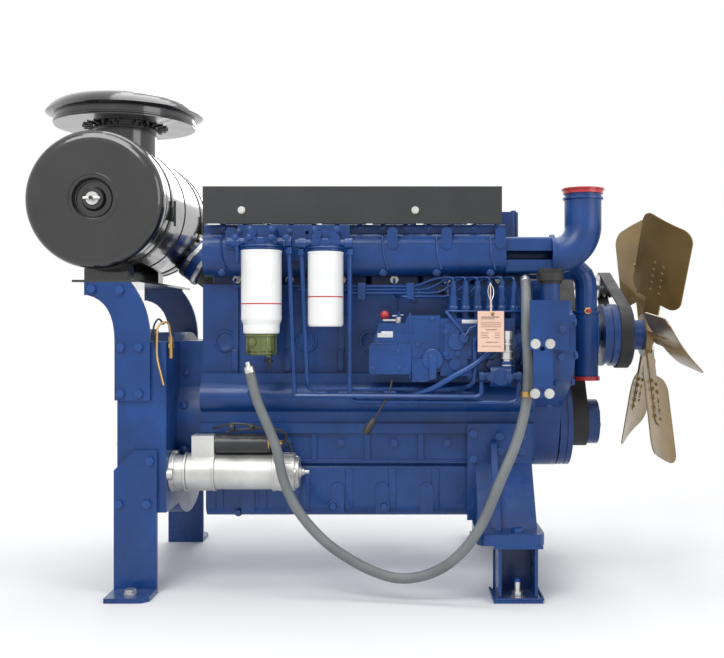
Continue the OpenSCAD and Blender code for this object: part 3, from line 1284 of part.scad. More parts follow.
module front_stand_one() {
  box([stand_x-stand_half,foot_y1,stand_top-stand_web],[stand_x+stand_half,stand_y0,stand_top-gap]);
  box([stand_x-stand_half,foot_y1,floor_z],[stand_x+stand_half,stand_y0,floor_z+stand_web]);
  box([stand_x-stand_half+stand_web,stand_y0-stand_web,floor_z],[stand_x+stand_half-stand_web,stand_y0,
    stand_top-gap]);
  for (s = [-1,1]) box([stand_x+s*(stand_half-2*stand_web)-stand_web/2,foot_y1+stand_web,floor_z],
    [stand_x+s*(stand_half-2*stand_web)+stand_web/2,stand_y0,stand_top-gap]);
}
module both_sides() for (s = [0,1]) mirror([0,s,0]) children();
module front_mounts() color(blue) both_sides() front_mount_one();
module front_stands() color(blue) both_sides() front_stand_one();
// bolts of the rear legs and of the brackets above them, as [x, z]
rear_bolts = [[17,222],[64,222],[17,102],[64,102],[93,-73],[12,-185],[85,-185],[-58,374],[15,371]];
module rear_bolt_set() {
  for (p = rear_bolts) hex_bolt([p[0],-leg_y,p[1]],m12);
  hex_bolt([leg_x0+leg_w/2,-leg_y-foot_reach/2,floor_z+leg_t],floor_bolt_r,[0,0,0]);
}
module support_bolts() color(steel) both_sides() {
  rear_bolt_set();
  for (p = arm_bolts) hex_bolt([p[0],arm_y - pad_t,p[1]],m12);
  hex_bolt([stand_x,foot_y1 + foot_t,stand_top + foot_t],floor_bolt_r,[0,0,0]);
  translate([stand_x,foot_y1 + foot_t,floor_z + stand_web]) {
    cylinder(r = floor_bolt_r*2.4,h = m12/2);
    cylinder(r = floor_bolt_r*1.8,h = floor_bolt_d,$fn = 6);
    cylinder(r = floor_bolt_r,h = 3*floor_bolt_d);
  }
}

// Plate on the timing case side, oil filler above the case
side_plate_y = -390;
side_plate_t = 8;
side_plate = [[1069,218],[1078,218],[1078,98],[1127,98],[1127,218],[1168,218],[1168,288],[1184,288],
  [1184,306],[1168,306],[1168,343],[1069,343]];
side_bolts = [[1083,233],[1120,233],[1082,108],[1118,108]];
side_holes = [[1101,221],[1099,118]];
module timing_side_plate() color(blue) difference() {
  union() {
    translate([0,side_plate_y,0]) rotate([90,0,0]) linear_extrude(side_plate_t) polygon(side_plate);
    for (p = side_bolts) ycyl(m12*1.6,side_plate_y-cut,side_plate_y+side_plate_t/2,p[0],p[1]);
  }
  for (p = side_holes) ycyl(m12,side_plate_y-2*side_plate_t,side_plate_y+cut,p[0],p[1]);
}
module side_plate_bolts() color(silver) for (p = side_bolts) hex_bolt([p[0],side_plate_y-side_plate_t,
  p[1]],m12);
filler_x = 1136;
filler_y = -292;
filler_top = 388;
filler_r = 25;
module oil_filler_tube() color(blue) difference() {
  zcyl(filler_r,pump_z + 1.2*pump_w,filler_top,filler_x,filler_y);
  zcyl(filler_r-elb_wall,filler_top-3*elb_wall,filler_top+cut,filler_x,filler_y);
}
module oil_filler_cap() color(black) translate([filler_x,filler_y,filler_top+gap]) {
  cylinder(r = filler_r*1.1,h = filler_r*0.6);
  translate([0,0,filler_r*0.3]) cylinder(r = filler_r*1.4,h = filler_r*0.8);
  translate([-filler_r*1.2,-filler_r/4,0]) cube([filler_r*2.4,filler_r/2,filler_r*1.6]);
}

// Exhaust manifold and turbocharger on the far side, oil filters below them
exhaust_r = 34;
exhaust_out = 52;
exhaust_y = head_w/2 + exhaust_out;
module exhaust_manifold() color(grey) {
  xcyl(exhaust_r,bore_x(0)-port_w/2,bore_x(5)+port_w/2,exhaust_y,head_mid_z);
  for (i = [0:cyls - 1]) {
    box([bore_x(i)-port_w/3,head_w/2+gap,head_mid_z-port_w/3],[bore_x(i)+port_w/3,exhaust_y,head_mid_z+
      port_w/3]);
    box([bore_x(i)-port_w/2,head_w/2+gap,head_mid_z-port_w/2],[bore_x(i)+port_w/2,head_w/2+2*m12,
      head_mid_z+port_w/2]);
  }
}
turbo_len = 130;
hot_x = turbo_x + turbo_len;
module turbo_housing() color(grey) difference() {
  union() {
    xcyl(turbo_r*0.6,turbo_inlet[0],turbo_x,turbo_y,turbo_z);
    translate([turbo_x,turbo_y,turbo_z]) rotate([0,90,0]) rotate_extrude() translate([turbo_r*0.72,0])
      circle(r = turbo_r*0.42);
    xcyl(turbo_r*0.9,turbo_x-turbo_r*0.3,turbo_x+turbo_r*0.4,turbo_y,turbo_z);
    xcyl(turbo_r*0.5,turbo_x,hot_x,turbo_y,turbo_z);
    translate([hot_x,turbo_y,turbo_z]) rotate([0,90,0]) rotate_extrude() translate([turbo_r*0.6,0])
      circle(r = turbo_r*0.46);
    xcyl(turbo_r*0.8,hot_x-turbo_r*0.3,hot_x+turbo_r*0.4,turbo_y,turbo_z);
    xcyl(turbo_r*0.7,hot_x,hot_x + turbo_r*1.2,turbo_y,turbo_z);
    zcyl(turbo_r*0.4,turbo_z,turbo_z+turbo_r*2,turbo_x,turbo_y+turbo_r*0.6);
  }
  xcyl(turbo_r*0.5,turbo_inlet[0]-cut,turbo_x+turbo_r*0.2,turbo_y,turbo_z);
  xcyl(turbo_r*0.5,hot_x,hot_x + turbo_r*2,turbo_y,turbo_z);
  xcyl(turbo_shaft_r + run_gap,turbo_x,hot_x + cut,turbo_y,turbo_z);
  box([turbo_x-turbo_r*2,0,turbo_z-2*turbo_r],[hot_x+2*turbo_r,block_w/2+rib_t+gap,turbo_z+2*turbo_r]);
}
turbo_shaft_r = 8;
module turbo_rotor() color(silver) {
  xcyl(turbo_shaft_r,turbo_x-turbo_r*0.5,hot_x+turbo_r*0.5,turbo_y,turbo_z);
  for (x = [turbo_x - turbo_r*0.4,hot_x + cut]) {
    xcyl(turbo_r*0.2,x,x + turbo_r*0.5,turbo_y,turbo_z);
    for (k = [0:7]) translate([x,turbo_y,turbo_z]) rotate([k*45,0,0]) rotate([0,0,12])
      translate([0,-blade_t/2,0]) cube([turbo_r*0.4,blade_t,turbo_r*0.44]);
  }
}
oil_can_x = [620,760];
oil_can_y = 272;
oil_can_d = 108;
oil_can_top = 96;
module oil_filters() color(white) for (x = oil_can_x) translate([x,oil_can_y,oil_can_top-fuel_filter_h])
  can(oil_can_d,fuel_filter_h,1);
module oil_filter_head() color(blue) {
  rbox([oil_can_x[0]-port_w,skirt_w/2-cut,oil_can_top+gap],[oil_can_x[1]+port_w,oil_can_y+oil_can_d*0.4,
    oil_can_top+port_w*0.9],edge_r,"z");
  box([oil_can_x[0]-port_w,skirt_w/2-cut,oil_can_top],[oil_can_x[1]+port_w,skirt_w/2+2*edge_r,skirt_top]);
}

// Hanging hose: its middle line, and the clip that holds it
hose_r = 13;
hose_line = [[352,-330,169],[375,-338,86],[408,-340,8],[427,-345,-43],[445,-345,-121],[484,-350,-199],
  [548,-360,-269],
  [618,-372,-316],[686,-385,-346],[750,-396,-357],[820,-408,-341],[885,-420,-297],[944,-424,-219],[994,
    -412,-108],
  [1036,-386,-17],[1060,-366,60],[1068,-356,112],[1070,-352,190],[1067,-345,262],[1069,-325,325],[1073,
    -290,370],[1076,-250,400]];
function spline(p,k) = [for (i = [0:len(p) - 2],j = [0:k - 1]) let (t = j/k,
  a = p[max(0,i - 1)],b = p[i],c = p[i + 1],d = p[min(len(p) - 1,i + 2)])
  b+t/2*(c-a)+t*t*(2*a-5*b+4*c-d)/2+t*t*t*(3*b-a-3*c+d)/2];
module hanging_hose() color(grey) tube(concat(spline(hose_line,3),[hose_line[len(hose_line)-1]]),hose_r,
  12);
clip_at = [1067,-357.5];
clip_z = [97,111];
module hose_clip() color(brass) difference() {
  union() {
    zcyl(hose_r + side_plate_t/2,clip_z[0],clip_z[1],clip_at[0],clip_at[1]);
    box([clip_at[0]+edge_r,side_plate_y+side_plate_t/2+gap,clip_z[0]],[clip_at[0]+2*hose_r,clip_at[1]-cut,
      clip_z[1]]);
  }
  zcyl(hose_r + 2*cut,0,2*clip_z[1],clip_at[0],clip_at[1]);
}

// Speed sensor with its lead
sensor_x = housing_len + 1.5*m12 + gap;
sensor_z = 232;
sensor_y = -288;
module speed_sensor() color(brass) {
  zcyl(m12,housing_r*0.7,sensor_z + 3*m12,sensor_x,sensor_y);
  zcyl(m12*1.5,sensor_z - 2*m12,sensor_z,sensor_x,sensor_y,$fn = 6);
  tube(rounded([[sensor_x,sensor_y,sensor_z+3*m12],[sensor_x-m12,sensor_y,sensor_z+10*m12],
    [sensor_x-5*m12,sensor_y-4*m12,sensor_z+8*m12],[sensor_x-5*m12,sensor_y-5*m12,sensor_z-6*m12],
    [sensor_x-2*m12,sensor_y-5*m12,sensor_z-18*m12]],3*m12,4),m12/2,8);
}

// Hang tag on its twist tie
tag = [[941,212],[1008,316]];
tag_y = -359;
module hang_tag() color([0.9,0.7,0.6]) difference() {
  mid = (tag[0][0] + tag[1][0])/2;
  union() {
    box([tag[0][0],tag_y,tag[0][1]],[tag[1][0],tag_y + cut,tag[1][1]]);
    tube(rounded([[mid,tag_y+cut/2,tag[1][1]-edge_r],[mid,tag_y+edge_r,tag[1][1]+3*edge_r],
      [element_x(3),elem_y-2*edge_r,hp_z+injector_pipe_d],[element_x(3),
        elem_y-1.1*injector_pipe_d-tie_r-gap,hp_z+injector_pipe_d]],
      edge_r,3),tie_r,6);
  }
  ycyl(tie_r*2,tag_y - cut,tag_y + 2*cut,mid + 3*tie_r,tag[1][1] - edge_r);
}
tie_r = 1.4;

// What is drawn: every named sub-part is its own piece
module cylinder_block_set() { cylinder_block(); main_bearing_caps(); oil_filter_head(); }
module housing_set() { flywheel_housing(); rear_adapter(); }
module rear_brackets() for (s = [-1,1]) { rear_leg(s); cleaner_bracket(s); }
module drum_set() { air_cleaner_drum(); centre_stud(); cleaner_saddle(); }
module intake_set() { intake_manifold(); intake_elbow(); }
module filter_bracket_set() { filter_bracket(); filter_heads(); }
module fuel_pipe_set() { fuel_pipes(); pipe_clips(); }
module pump_set() { injection_pump(); pump_drive_flange(); feed_pump(); }
module governor_set() { governor(); lever_pin(); }
module injector_pipe_set() { injector_pipes(); hp_clamps(); }
module starter_set() { starter_housing(); starter_motor_case(); }
module timing_case_set() { timing_case(); idler_pin(); timing_side_plate(); oil_filler_tube(); }
module turbo_set() { exhaust_manifold(); turbo_housing(); }
module water_pump_set() { water_pump_body(); water_outlet(); }
module crankshaft_set() { crankshaft(); crank_gear(); }
module crank_pulley_set() { crank_pulley(); crank_damper(); }
module flywheel_set() { flywheel(); ring_gear(); }
module camshaft_set() { camshaft(); cam_gear(); }
module pump_drive_set() { pump_camshaft(); pump_gear(); }
module belt_set() { crank_belt(); fan_belt(); }
module support_set() { front_mounts(); front_stands(); }
module bolt_set() { plate_bolts(); side_plate_bolts(); support_bolts(); }

cylinder_block_set();  // cylinder_block
cylinder_heads();
rocker_covers();
oil_pan();
timing_case_set();  // timing_case
timing_cover();
housing_set();  // flywheel_housing
rear_brackets();
drum_set();  // air_cleaner_drum
air_cleaner_cover();
wing_nut();
rain_cap();
air_duct();
duct_coupling();
duct_clamps();
intake_set();  // intake_manifold
intake_cap();
cover_plate();
turbo_set();  // turbo_housing
turbo_rotor();
filter_bracket_set();  // filter_bracket
water_separator();
separator_bowl();
drain_knob();
fuel_filter();
fuel_pipe_set();  // fuel_pipes
pump_set();  // injection_pump
governor_set();  // governor
governor_lever();
lever_knob();
injector_pipe_set();  // injector_pipes
injectors();
primer_plunger();
starter_set();  // starter_motor
starter_solenoid();
starter_pinion();
support_set();  // front_supports
bolt_set();  // fixing_bolts
water_pump_set();  // water_pump
water_inlet_cap();
fan_pulley();
fan_blades();
crankshaft_set();  // crankshaft
crank_pulley_set();  // crank_pulley
flywheel_set();  // flywheel
camshaft_set();  // camshaft
idler_gear();
pump_drive_set();  // pump_drive
belt_set();  // drive_belts
alternator_body();  // alternator
alternator_shaft();
oil_filler_cap();
hanging_hose();
hose_clip();
speed_sensor();
hang_tag();
oil_filters();
pistons([0,5]);  // pistons_a
pistons([1,4]);  // pistons_b
pistons([2,3]);  // pistons_c
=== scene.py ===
"""Dresses the six cylinder diesel engine: paints, small parts and studio, laid out as an add-on."""

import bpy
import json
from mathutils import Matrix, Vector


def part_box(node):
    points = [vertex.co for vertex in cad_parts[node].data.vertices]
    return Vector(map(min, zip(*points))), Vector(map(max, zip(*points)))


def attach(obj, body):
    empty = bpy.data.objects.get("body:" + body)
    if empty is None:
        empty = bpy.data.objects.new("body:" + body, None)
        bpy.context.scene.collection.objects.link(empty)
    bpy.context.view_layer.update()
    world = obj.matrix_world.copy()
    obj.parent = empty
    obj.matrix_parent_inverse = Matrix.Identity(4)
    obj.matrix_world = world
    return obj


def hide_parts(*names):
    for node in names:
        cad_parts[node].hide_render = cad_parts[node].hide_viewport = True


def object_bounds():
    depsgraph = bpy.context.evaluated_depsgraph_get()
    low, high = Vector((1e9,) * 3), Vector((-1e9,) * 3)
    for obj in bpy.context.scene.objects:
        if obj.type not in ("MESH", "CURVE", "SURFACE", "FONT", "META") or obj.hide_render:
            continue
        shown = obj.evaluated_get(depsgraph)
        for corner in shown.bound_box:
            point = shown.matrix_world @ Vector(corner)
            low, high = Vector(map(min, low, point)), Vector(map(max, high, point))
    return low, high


bl_info = {
    "name": "Diesel Engine Dressing",
    "version": (1, 0, 0),
    "blender": (4, 5, 0),
    "location": "View3D > Sidebar > Engine",
    "description": "Finishes and small parts for an inline diesel engine on floor supports",
    "category": "Object",
}

import json
import math

import bmesh
import bpy
from bpy.props import FloatProperty, FloatVectorProperty, IntProperty
from mathutils import Matrix, Vector
from mathutils.bvhtree import BVHTree

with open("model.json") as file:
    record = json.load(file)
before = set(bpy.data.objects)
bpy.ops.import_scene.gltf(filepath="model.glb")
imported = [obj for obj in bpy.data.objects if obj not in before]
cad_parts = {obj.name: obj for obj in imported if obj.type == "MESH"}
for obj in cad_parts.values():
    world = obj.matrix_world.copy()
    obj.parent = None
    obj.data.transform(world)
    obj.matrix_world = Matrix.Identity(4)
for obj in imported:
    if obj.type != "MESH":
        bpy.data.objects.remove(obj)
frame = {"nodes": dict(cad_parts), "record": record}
CAD_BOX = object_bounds()
NODES = frame["nodes"]
MM = 0.001
FLOOR_Z = CAD_BOX[0][2]


# ---- Materials -------------------------------------------------------------------------


def group_tree(name, inputs, outputs):
    """A shader node group with named float inputs and outputs, and its two end nodes."""
    tree = bpy.data.node_groups.new(name, "ShaderNodeTree")
    for label, value in inputs:
        socket = tree.interface.new_socket(label, in_out="INPUT", socket_type="NodeSocketFloat")
        socket.default_value = value
    for label in outputs:
        tree.interface.new_socket(label, in_out="OUTPUT", socket_type="NodeSocketFloat")
    return tree, tree.nodes.new("NodeGroupInput"), tree.nodes.new("NodeGroupOutput")


def plug(tree, source, target):
    tree.links.new(source, target)


def node(tree, kind, settings=(), **values):
    """Adds a node, sets its properties and its unlinked inputs, and links the sockets given."""
    made = tree.nodes.new(kind)
    for key, value in dict(settings).items():
        setattr(made, key, value)
    for key, value in values.items():
        by_place = key[0] == "i" and key[1:].isdigit()
        socket = made.inputs[int(key[1:]) if by_place else key]
        if isinstance(value, bpy.types.NodeSocket):
            tree.links.new(value, socket)
        else:
            socket.default_value = value
    return made


def calc(tree, operation, a, b=0.0, c=0.0, clamp=False):
    settings = {"operation": operation, "use_clamp": clamp}
    return node(tree, "ShaderNodeMath", settings, i0=a, i1=b, i2=c).outputs[0]


def ramp(tree, value, low, high, out_low=0.0, out_high=1.0):
    spans = {"i1": low, "i2": high, "i3": out_low, "i4": out_high}
    return node(tree, "ShaderNodeMapRange", i0=value, **spans).outputs[0]


def noise(tree, at, scale, detail=3.0, rough=0.55):
    values = {"Scale": scale, "Detail": detail, "Roughness": rough}
    return node(tree, "ShaderNodeTexNoise", Vector=at, **values).outputs[0]


def object_place(tree):
    return tree.nodes.new("ShaderNodeTexCoord").outputs["Object"]


def mixed(tree, factor, a, b):
    """Mixes two colours, each a socket or a plain (red, green, blue)."""
    sides = {at: c if isinstance(c, bpy.types.NodeSocket) else (*c, 1)
             for at, c in (("i6", a), ("i7", b))}
    return node(tree, "ShaderNodeMix", {"data_type": "RGBA"}, i0=factor, **sides).outputs[2]


def cast_group():
    """Tone and height of a painted or bare casting: slow mottle, orange peel and sand grain."""
    tree, head, tail = group_tree(
        "Cast Skin",
        [("Mottle Scale", 9.0), ("Peel Scale", 130.0), ("Grain Scale", 700.0), ("Peel", 0.6),
         ("Grain", 0.4)],
        ["Tone", "Height"],
    )
    at = object_place(tree)
    mottle = noise(tree, at, head.outputs["Mottle Scale"], 4.0)
    peel = noise(tree, at, head.outputs["Peel Scale"], 2.0)
    grain = noise(tree, at, head.outputs["Grain Scale"], 2.0, 0.7)
    height = calc(tree, "ADD", calc(tree, "MULTIPLY", peel, head.outputs["Peel"]),
                  calc(tree, "MULTIPLY", grain, head.outputs["Grain"]))
    plug(tree, ramp(tree, mottle, 0.3, 0.7), tail.inputs["Tone"])
    plug(tree, height, tail.inputs["Height"])
    return tree


def wear_group():
    """Masks for dust on faces that look up, small scuffs, and patchy smears."""
    tree, head, tail = group_tree(
        "Shop Wear", [("Dust", 0.3), ("Scuff", 0.2), ("Scuff Scale", 45.0)],
        ["Dust", "Scuff", "Smear"],
    )
    at = object_place(tree)
    facing = tree.nodes.new("ShaderNodeNewGeometry").outputs["Normal"]
    up = node(tree, "ShaderNodeSeparateXYZ", i0=facing).outputs[2]
    cloud = ramp(tree, noise(tree, at, 26.0, 5.0), 0.3, 0.7)
    settle = calc(tree, "MULTIPLY", ramp(tree, up, 0.35, 0.95), cloud)
    plug(tree, calc(tree, "MULTIPLY", settle, head.outputs["Dust"]), tail.inputs["Dust"])
    speck = ramp(tree, noise(tree, at, head.outputs["Scuff Scale"], 6.0, 0.75), 0.66, 0.72)
    patch = ramp(tree, noise(tree, at, 7.0, 2.0), 0.5, 0.62)
    worn = calc(tree, "MULTIPLY", calc(tree, "MULTIPLY", speck, patch), head.outputs["Scuff"])
    plug(tree, worn, tail.inputs["Scuff"])
    plug(tree, ramp(tree, noise(tree, at, 14.0, 5.0, 0.6), 0.35, 0.75), tail.inputs["Smear"])
    return tree


def brushed_group():
    """Fine turned or drawn lines along one axis."""
    tree, head, tail = group_tree(
        "Drawn Lines", [("Along X", 20.0), ("Along Y", 900.0), ("Along Z", 900.0)],
        ["Line", "Height"],
    )
    at = object_place(tree)
    along = {f"i{k}": head.outputs[k] for k in range(3)}
    scale = node(tree, "ShaderNodeCombineXYZ", **along).outputs[0]
    settings = {"operation": "MULTIPLY"}
    stretched = node(tree, "ShaderNodeVectorMath", settings, i0=at, i1=scale).outputs[0]
    line = noise(tree, stretched, 1.0, 3.0, 0.6)
    plug(tree, line, tail.inputs["Line"])
    plug(tree, line, tail.inputs["Height"])
    return tree


GROUPS = {}
LOOKS = {}
DUST = (0.42, 0.42, 0.41)
BUMP_DEPTH = 0.001


def shared(tree, group, values):
    """Places one of the shared groups with its own values."""
    made = tree.nodes.new("ShaderNodeGroup")
    made.node_tree = GROUPS[group]
    for key, value in values.items():
        made.inputs[key].default_value = value
    return made


def look(name, colour, rough, dark=0.72, light=1.18, metal=0.0, coat=0.0, coat_rough=0.1,
         dust=0.25, scuff=0.0, scuff_colour=(0.3, 0.3, 0.3), peel=(130.0, 0.6),
         grain=(700.0, 0.4), bump=0.12, smear=0.08, lines=None, specular=0.5):
    """One finish: a Principled shader whose colour, roughness and normal vary over the surface."""
    made = bpy.data.materials.new(name)
    made.use_nodes = True
    tree = made.node_tree
    shader = tree.nodes["Principled BSDF"]
    skin = shared(tree, "cast", {"Peel Scale": peel[0], "Peel": peel[1],
                                 "Grain Scale": grain[0], "Grain": grain[1]})
    wear = shared(tree, "wear", {"Dust": dust, "Scuff": scuff})
    tone, height = skin.outputs["Tone"], skin.outputs["Height"]
    if lines:
        drawn = shared(tree, "lines", dict(enumerate(lines)))
        tone = calc(tree, "MULTIPLY_ADD", drawn.outputs["Line"], 0.6,
                    calc(tree, "MULTIPLY", tone, 0.4))
        height = calc(tree, "ADD", height, drawn.outputs["Height"])
    base = mixed(tree, tone, [c * dark for c in colour], [min(1, c * light) for c in colour])
    base = mixed(tree, wear.outputs["Scuff"], base, scuff_colour)
    base = mixed(tree, wear.outputs["Dust"], base, DUST)
    plug(tree, base, shader.inputs["Base Color"])
    uneven = calc(tree, "MULTIPLY_ADD", wear.outputs["Smear"], smear, rough)
    dusty = calc(tree, "MULTIPLY_ADD", wear.outputs["Dust"], 0.3, uneven, clamp=True)
    plug(tree, dusty, shader.inputs["Roughness"])
    raised = node(tree, "ShaderNodeBump", Height=height, Strength=bump, Distance=BUMP_DEPTH)
    plug(tree, raised.outputs["Normal"], shader.inputs["Normal"])
    for key, value in {"Metallic": metal, "Coat Weight": coat, "Coat Roughness": coat_rough,
                       "Specular IOR Level": specular}.items():
        shader.inputs[key].default_value = value
    LOOKS[name] = made
    return made


# ---- Mesh and curve helpers, all in millimetres in the CAD's frame ---------------------


def turned_to(axis, at=(0, 0, 0)):
    """A matrix that turns +Z to axis and moves the origin to a point."""
    turn = Vector(axis).to_track_quat("Z", "Y").to_matrix().to_4x4()
    return Matrix.Translation(Vector(at)) @ turn


def lathe(bm, profile, at, axis, sides=48, turn=0.0):
    """Closed turned body: (radius, height) pairs along axis from at; radius 0 closes a pole."""
    place = turned_to(axis, at)
    rings = []
    for r, h in profile:
        if r <= 1e-6:
            rings.append([bm.verts.new(place @ Vector((0, 0, h)))])
        else:
            angles = [turn + 2 * math.pi * k / sides for k in range(sides)]
            spots = [Vector((r * math.cos(a), r * math.sin(a), h)) for a in angles]
            rings.append([bm.verts.new(place @ spot) for spot in spots])
    for low, high in zip(rings, rings[1:]):
        for k in range(sides):
            j = (k + 1) % sides
            if len(low) == 1:
                bm.faces.new((low[0], high[k], high[j]))
            elif len(high) == 1:
                bm.faces.new((low[k], low[j], high[0]))
            else:
                bm.faces.new((low[k], low[j], high[j], high[k]))
    return rings


def ring(bm, r_in, r_out, h0, h1, at, axis, sides=64, soft=0.6):
    """A closed band with eased edges, such as a clamp, a seam or a painted line."""
    s = min(soft, (h1 - h0) / 3, (r_out - r_in) / 3)
    profile = [(r_in, h0), (r_out - s, h0), (r_out, h0 + s), (r_out, h1 - s), (r_out - s, h1),
               (r_in, h1), (r_in, h0)]
    rings = lathe(bm, profile, at, axis, sides)
    bmesh.ops.remove_doubles(bm, verts=rings[0] + rings[-1], dist=1e-4)


def brick(bm, low, high, soft=0.8, turn=None):
    """A box with its edges eased; turn is an optional matrix applied about its centre."""
    low, high = Vector(low), Vector(high)
    made = bmesh.ops.create_cube(bm, size=1)["verts"]
    size, centre = high - low, (high + low) / 2
    for v in made:
        v.co = Vector(v.co[i] * size[i] for i in range(3))
    edges = list(dict.fromkeys(e for v in made for e in v.link_edges))
    if soft:
        eased = bmesh.ops.bevel(bm, geom=edges, offset=soft, segments=2, profile=0.5,
                                affect="EDGES")
        made = {v for f in eased["faces"] for v in f.verts} | {v for v in made if v.is_valid}
    for v in made:
        v.co = (turn @ v.co if turn else v.co) + centre


def sweep(bm, points, radius, sides=10, uv=None):
    """A closed tube along points, with its frame carried along so that it doesn't twist."""
    points = [Vector(p) for p in points]
    normal, loops, run = None, [], 0.0
    for i, p in enumerate(points):
        ahead = (points[min(i + 1, len(points) - 1)] - points[max(i - 1, 0)]).normalized()
        normal = ahead.orthogonal() if normal is None else normal - ahead * normal.dot(ahead)
        normal.normalize()
        side = ahead.cross(normal)
        r = radius[i] if isinstance(radius, (list, tuple)) else radius
        angles = [2 * math.pi * k / sides for k in range(sides)]
        loops.append([bm.verts.new(p + r * (math.cos(a) * normal + math.sin(a) * side))
                      for a in angles])
    for i, (low, high) in enumerate(zip(loops, loops[1:])):
        step = (points[i + 1] - points[i]).length
        for k in range(sides):
            j = (k + 1) % sides
            face = bm.faces.new((low[k], low[j], high[j], high[k]))
            if uv:
                corners = ((run, k), (run, k + 1), (run + step, k + 1), (run + step, k))
                for loop, (u, v) in zip(face.loops, corners):
                    loop[uv].uv = (u * MM, v / sides)
        run += step
    bm.faces.new(reversed(loops[0]))
    bm.faces.new(loops[-1])


def smooth_line(points, steps):
    """Catmull-Rom line through the points, as the CAD's hose and wires use."""
    p = [Vector(q) for q in points]
    p = [2 * p[0] - p[1]] + p + [2 * p[-1] - p[-2]]
    line = []
    for i in range(1, len(p) - 2):
        a, b, c, d = p[i - 1:i + 3]
        for k in range(steps):
            t = k / steps
            line.append(0.5 * (2 * b + (c - a) * t + (2 * a - 5 * b + 4 * c - d) * t * t
                               + (3 * b - a - 3 * c + d) * t ** 3))
    return line + [p[-2]]


def rounded_line(points, radius, steps=5):
    """Straight runs with each corner rounded, as bent metal pipe has."""
    p = [Vector(q) for q in points]
    line = [p[0]]
    for a, b, c in zip(p, p[1:], p[2:]):
        e = min(radius, 0.45 * (b - a).length, 0.45 * (c - b).length)
        start, end = b + (a - b).normalized() * e, b + (c - b).normalized() * e
        line += [start.lerp(b, t).lerp(b.lerp(end, t), t)
                 for t in (k / steps for k in range(steps + 1))]
    return line + [p[-1]]


def piece(name, bm, finish, body="engine", angle=35):
    """Makes the bmesh, in millimetres, a finished piece that rides on a body."""
    for v in bm.verts:
        v.co *= MM
    bmesh.ops.recalc_face_normals(bm, faces=bm.faces)
    mesh = bpy.data.meshes.new(name)
    bm.to_mesh(mesh)
    bm.free()
    return mount(name, mesh, finish, body, angle)


def mount(name, mesh, finish, body, angle=35):
    mesh.name = name
    mesh.materials.clear()
    mesh.materials.append(LOOKS[finish])
    mesh.shade_smooth()
    mesh.set_sharp_from_angle(angle=math.radians(angle))
    made = bpy.data.objects.new(name, mesh)
    bpy.context.scene.collection.objects.link(made)
    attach(made, body)
    return made


SURFACES = {}
REACH = 2600


def surface(name):
    """A search tree over a CAD node's skin, so that a small part can be seated on it."""
    if name not in SURFACES:
        mesh = NODES[name].data
        corners = [v.co.copy() for v in mesh.vertices]
        SURFACES[name] = BVHTree.FromPolygons(corners, [tuple(p.vertices) for p in mesh.polygons])
    return SURFACES[name]


def seat(name, at, way):
    """First point of a CAD node met from far outside the point at, going along way, or None."""
    way = Vector(way).normalized()
    start = Vector(at) - way * REACH
    hit = surface(name).ray_cast(start * MM, way, 2 * REACH * MM)[0]
    return None if hit is None else hit / MM


def met(name, spots, way):
    """The seats of those spots whose ray meets the node."""
    hits = (seat(name, spot, way) for spot in spots)
    return [hit for hit in hits if hit is not None]


def seats(name, spots, way, size):
    """Screws on a node's skin, as point_mesh takes them; size is the thread radius."""
    return [(hit, Vector([-c for c in way]), size) for hit in met(name, spots, way)]


def grid(across, heights):
    """Spots at every x and z, for rays along Y."""
    return [(x, 0, z) for x in across for z in heights]


def brick_ring(bm, count, radius, middle, half, soft, axis):
    """Bricks of a half size standing round a circle about the X or Z axis, turned with it."""
    for k in range(count):
        a = 2 * math.pi * k / count
        c, s = radius * math.cos(a), radius * math.sin(a)
        p = Vector(middle) + (Vector((0, c, s)) if axis == "X" else Vector((c, s, 0)))
        brick(bm, p - Vector(half), p + Vector(half), soft, Matrix.Rotation(a, 3, axis))


def circle_of(count, radius, y, z, x, start=0.0):
    """Points on a circle in a plane of constant X."""
    angles = [start + 2 * math.pi * k / count for k in range(count)]
    return [(x, y + radius * math.cos(a), z + radius * math.sin(a)) for a in angles]


# ---- Geometry Nodes for what repeats ---------------------------------------------------


def geometry_tree(name, **inputs):
    """A geometry group with named inputs, then a material input, and its two end nodes."""
    tree = bpy.data.node_groups.new(name, "GeometryNodeTree")
    new_socket = tree.interface.new_socket
    new_socket("Geometry", in_out="INPUT", socket_type="NodeSocketGeometry")
    for label, value in inputs.items():
        kind = "NodeSocketInt" if isinstance(value, int) else "NodeSocketFloat"
        new_socket(label, in_out="INPUT", socket_type=kind).default_value = value
    new_socket("Material", in_out="INPUT", socket_type="NodeSocketMaterial")
    new_socket("Geometry", in_out="OUTPUT", socket_type="NodeSocketGeometry")
    return tree, tree.nodes.new("NodeGroupInput"), tree.nodes.new("NodeGroupOutput")


def solid(tree, sides, low, high, depth, lift):
    """A tapered disc with its foot at height lift, in units of the thread radius."""
    values = {"Vertices": sides, "Radius Top": high, "Radius Bottom": low, "Depth": depth}
    cone = node(tree, "GeometryNodeMeshCone", **values).outputs["Mesh"]
    return node(tree, "GeometryNodeTransform", i0=cone, Translation=(0, 0, lift)).outputs[0]


def stored(tree, name, kind):
    """A value that point_mesh has stored on each point."""
    made = node(tree, "GeometryNodeInputNamedAttribute", {"data_type": kind}, Name=name)
    return made.outputs["Attribute"]


def random_value(tree, head, low, high):
    """A random number for each point, drawn from the tree's seed."""
    made = node(tree, "FunctionNodeRandomValue", {"data_type": "FLOAT"})
    floats = [s for s in made.inputs if s.type == "VALUE"]
    floats[0].default_value, floats[1].default_value = low, high
    plug(tree, head.outputs["Seed"], next(s for s in made.inputs if s.name == "Seed"))
    return next(s for s in made.outputs if s.type == "VALUE")


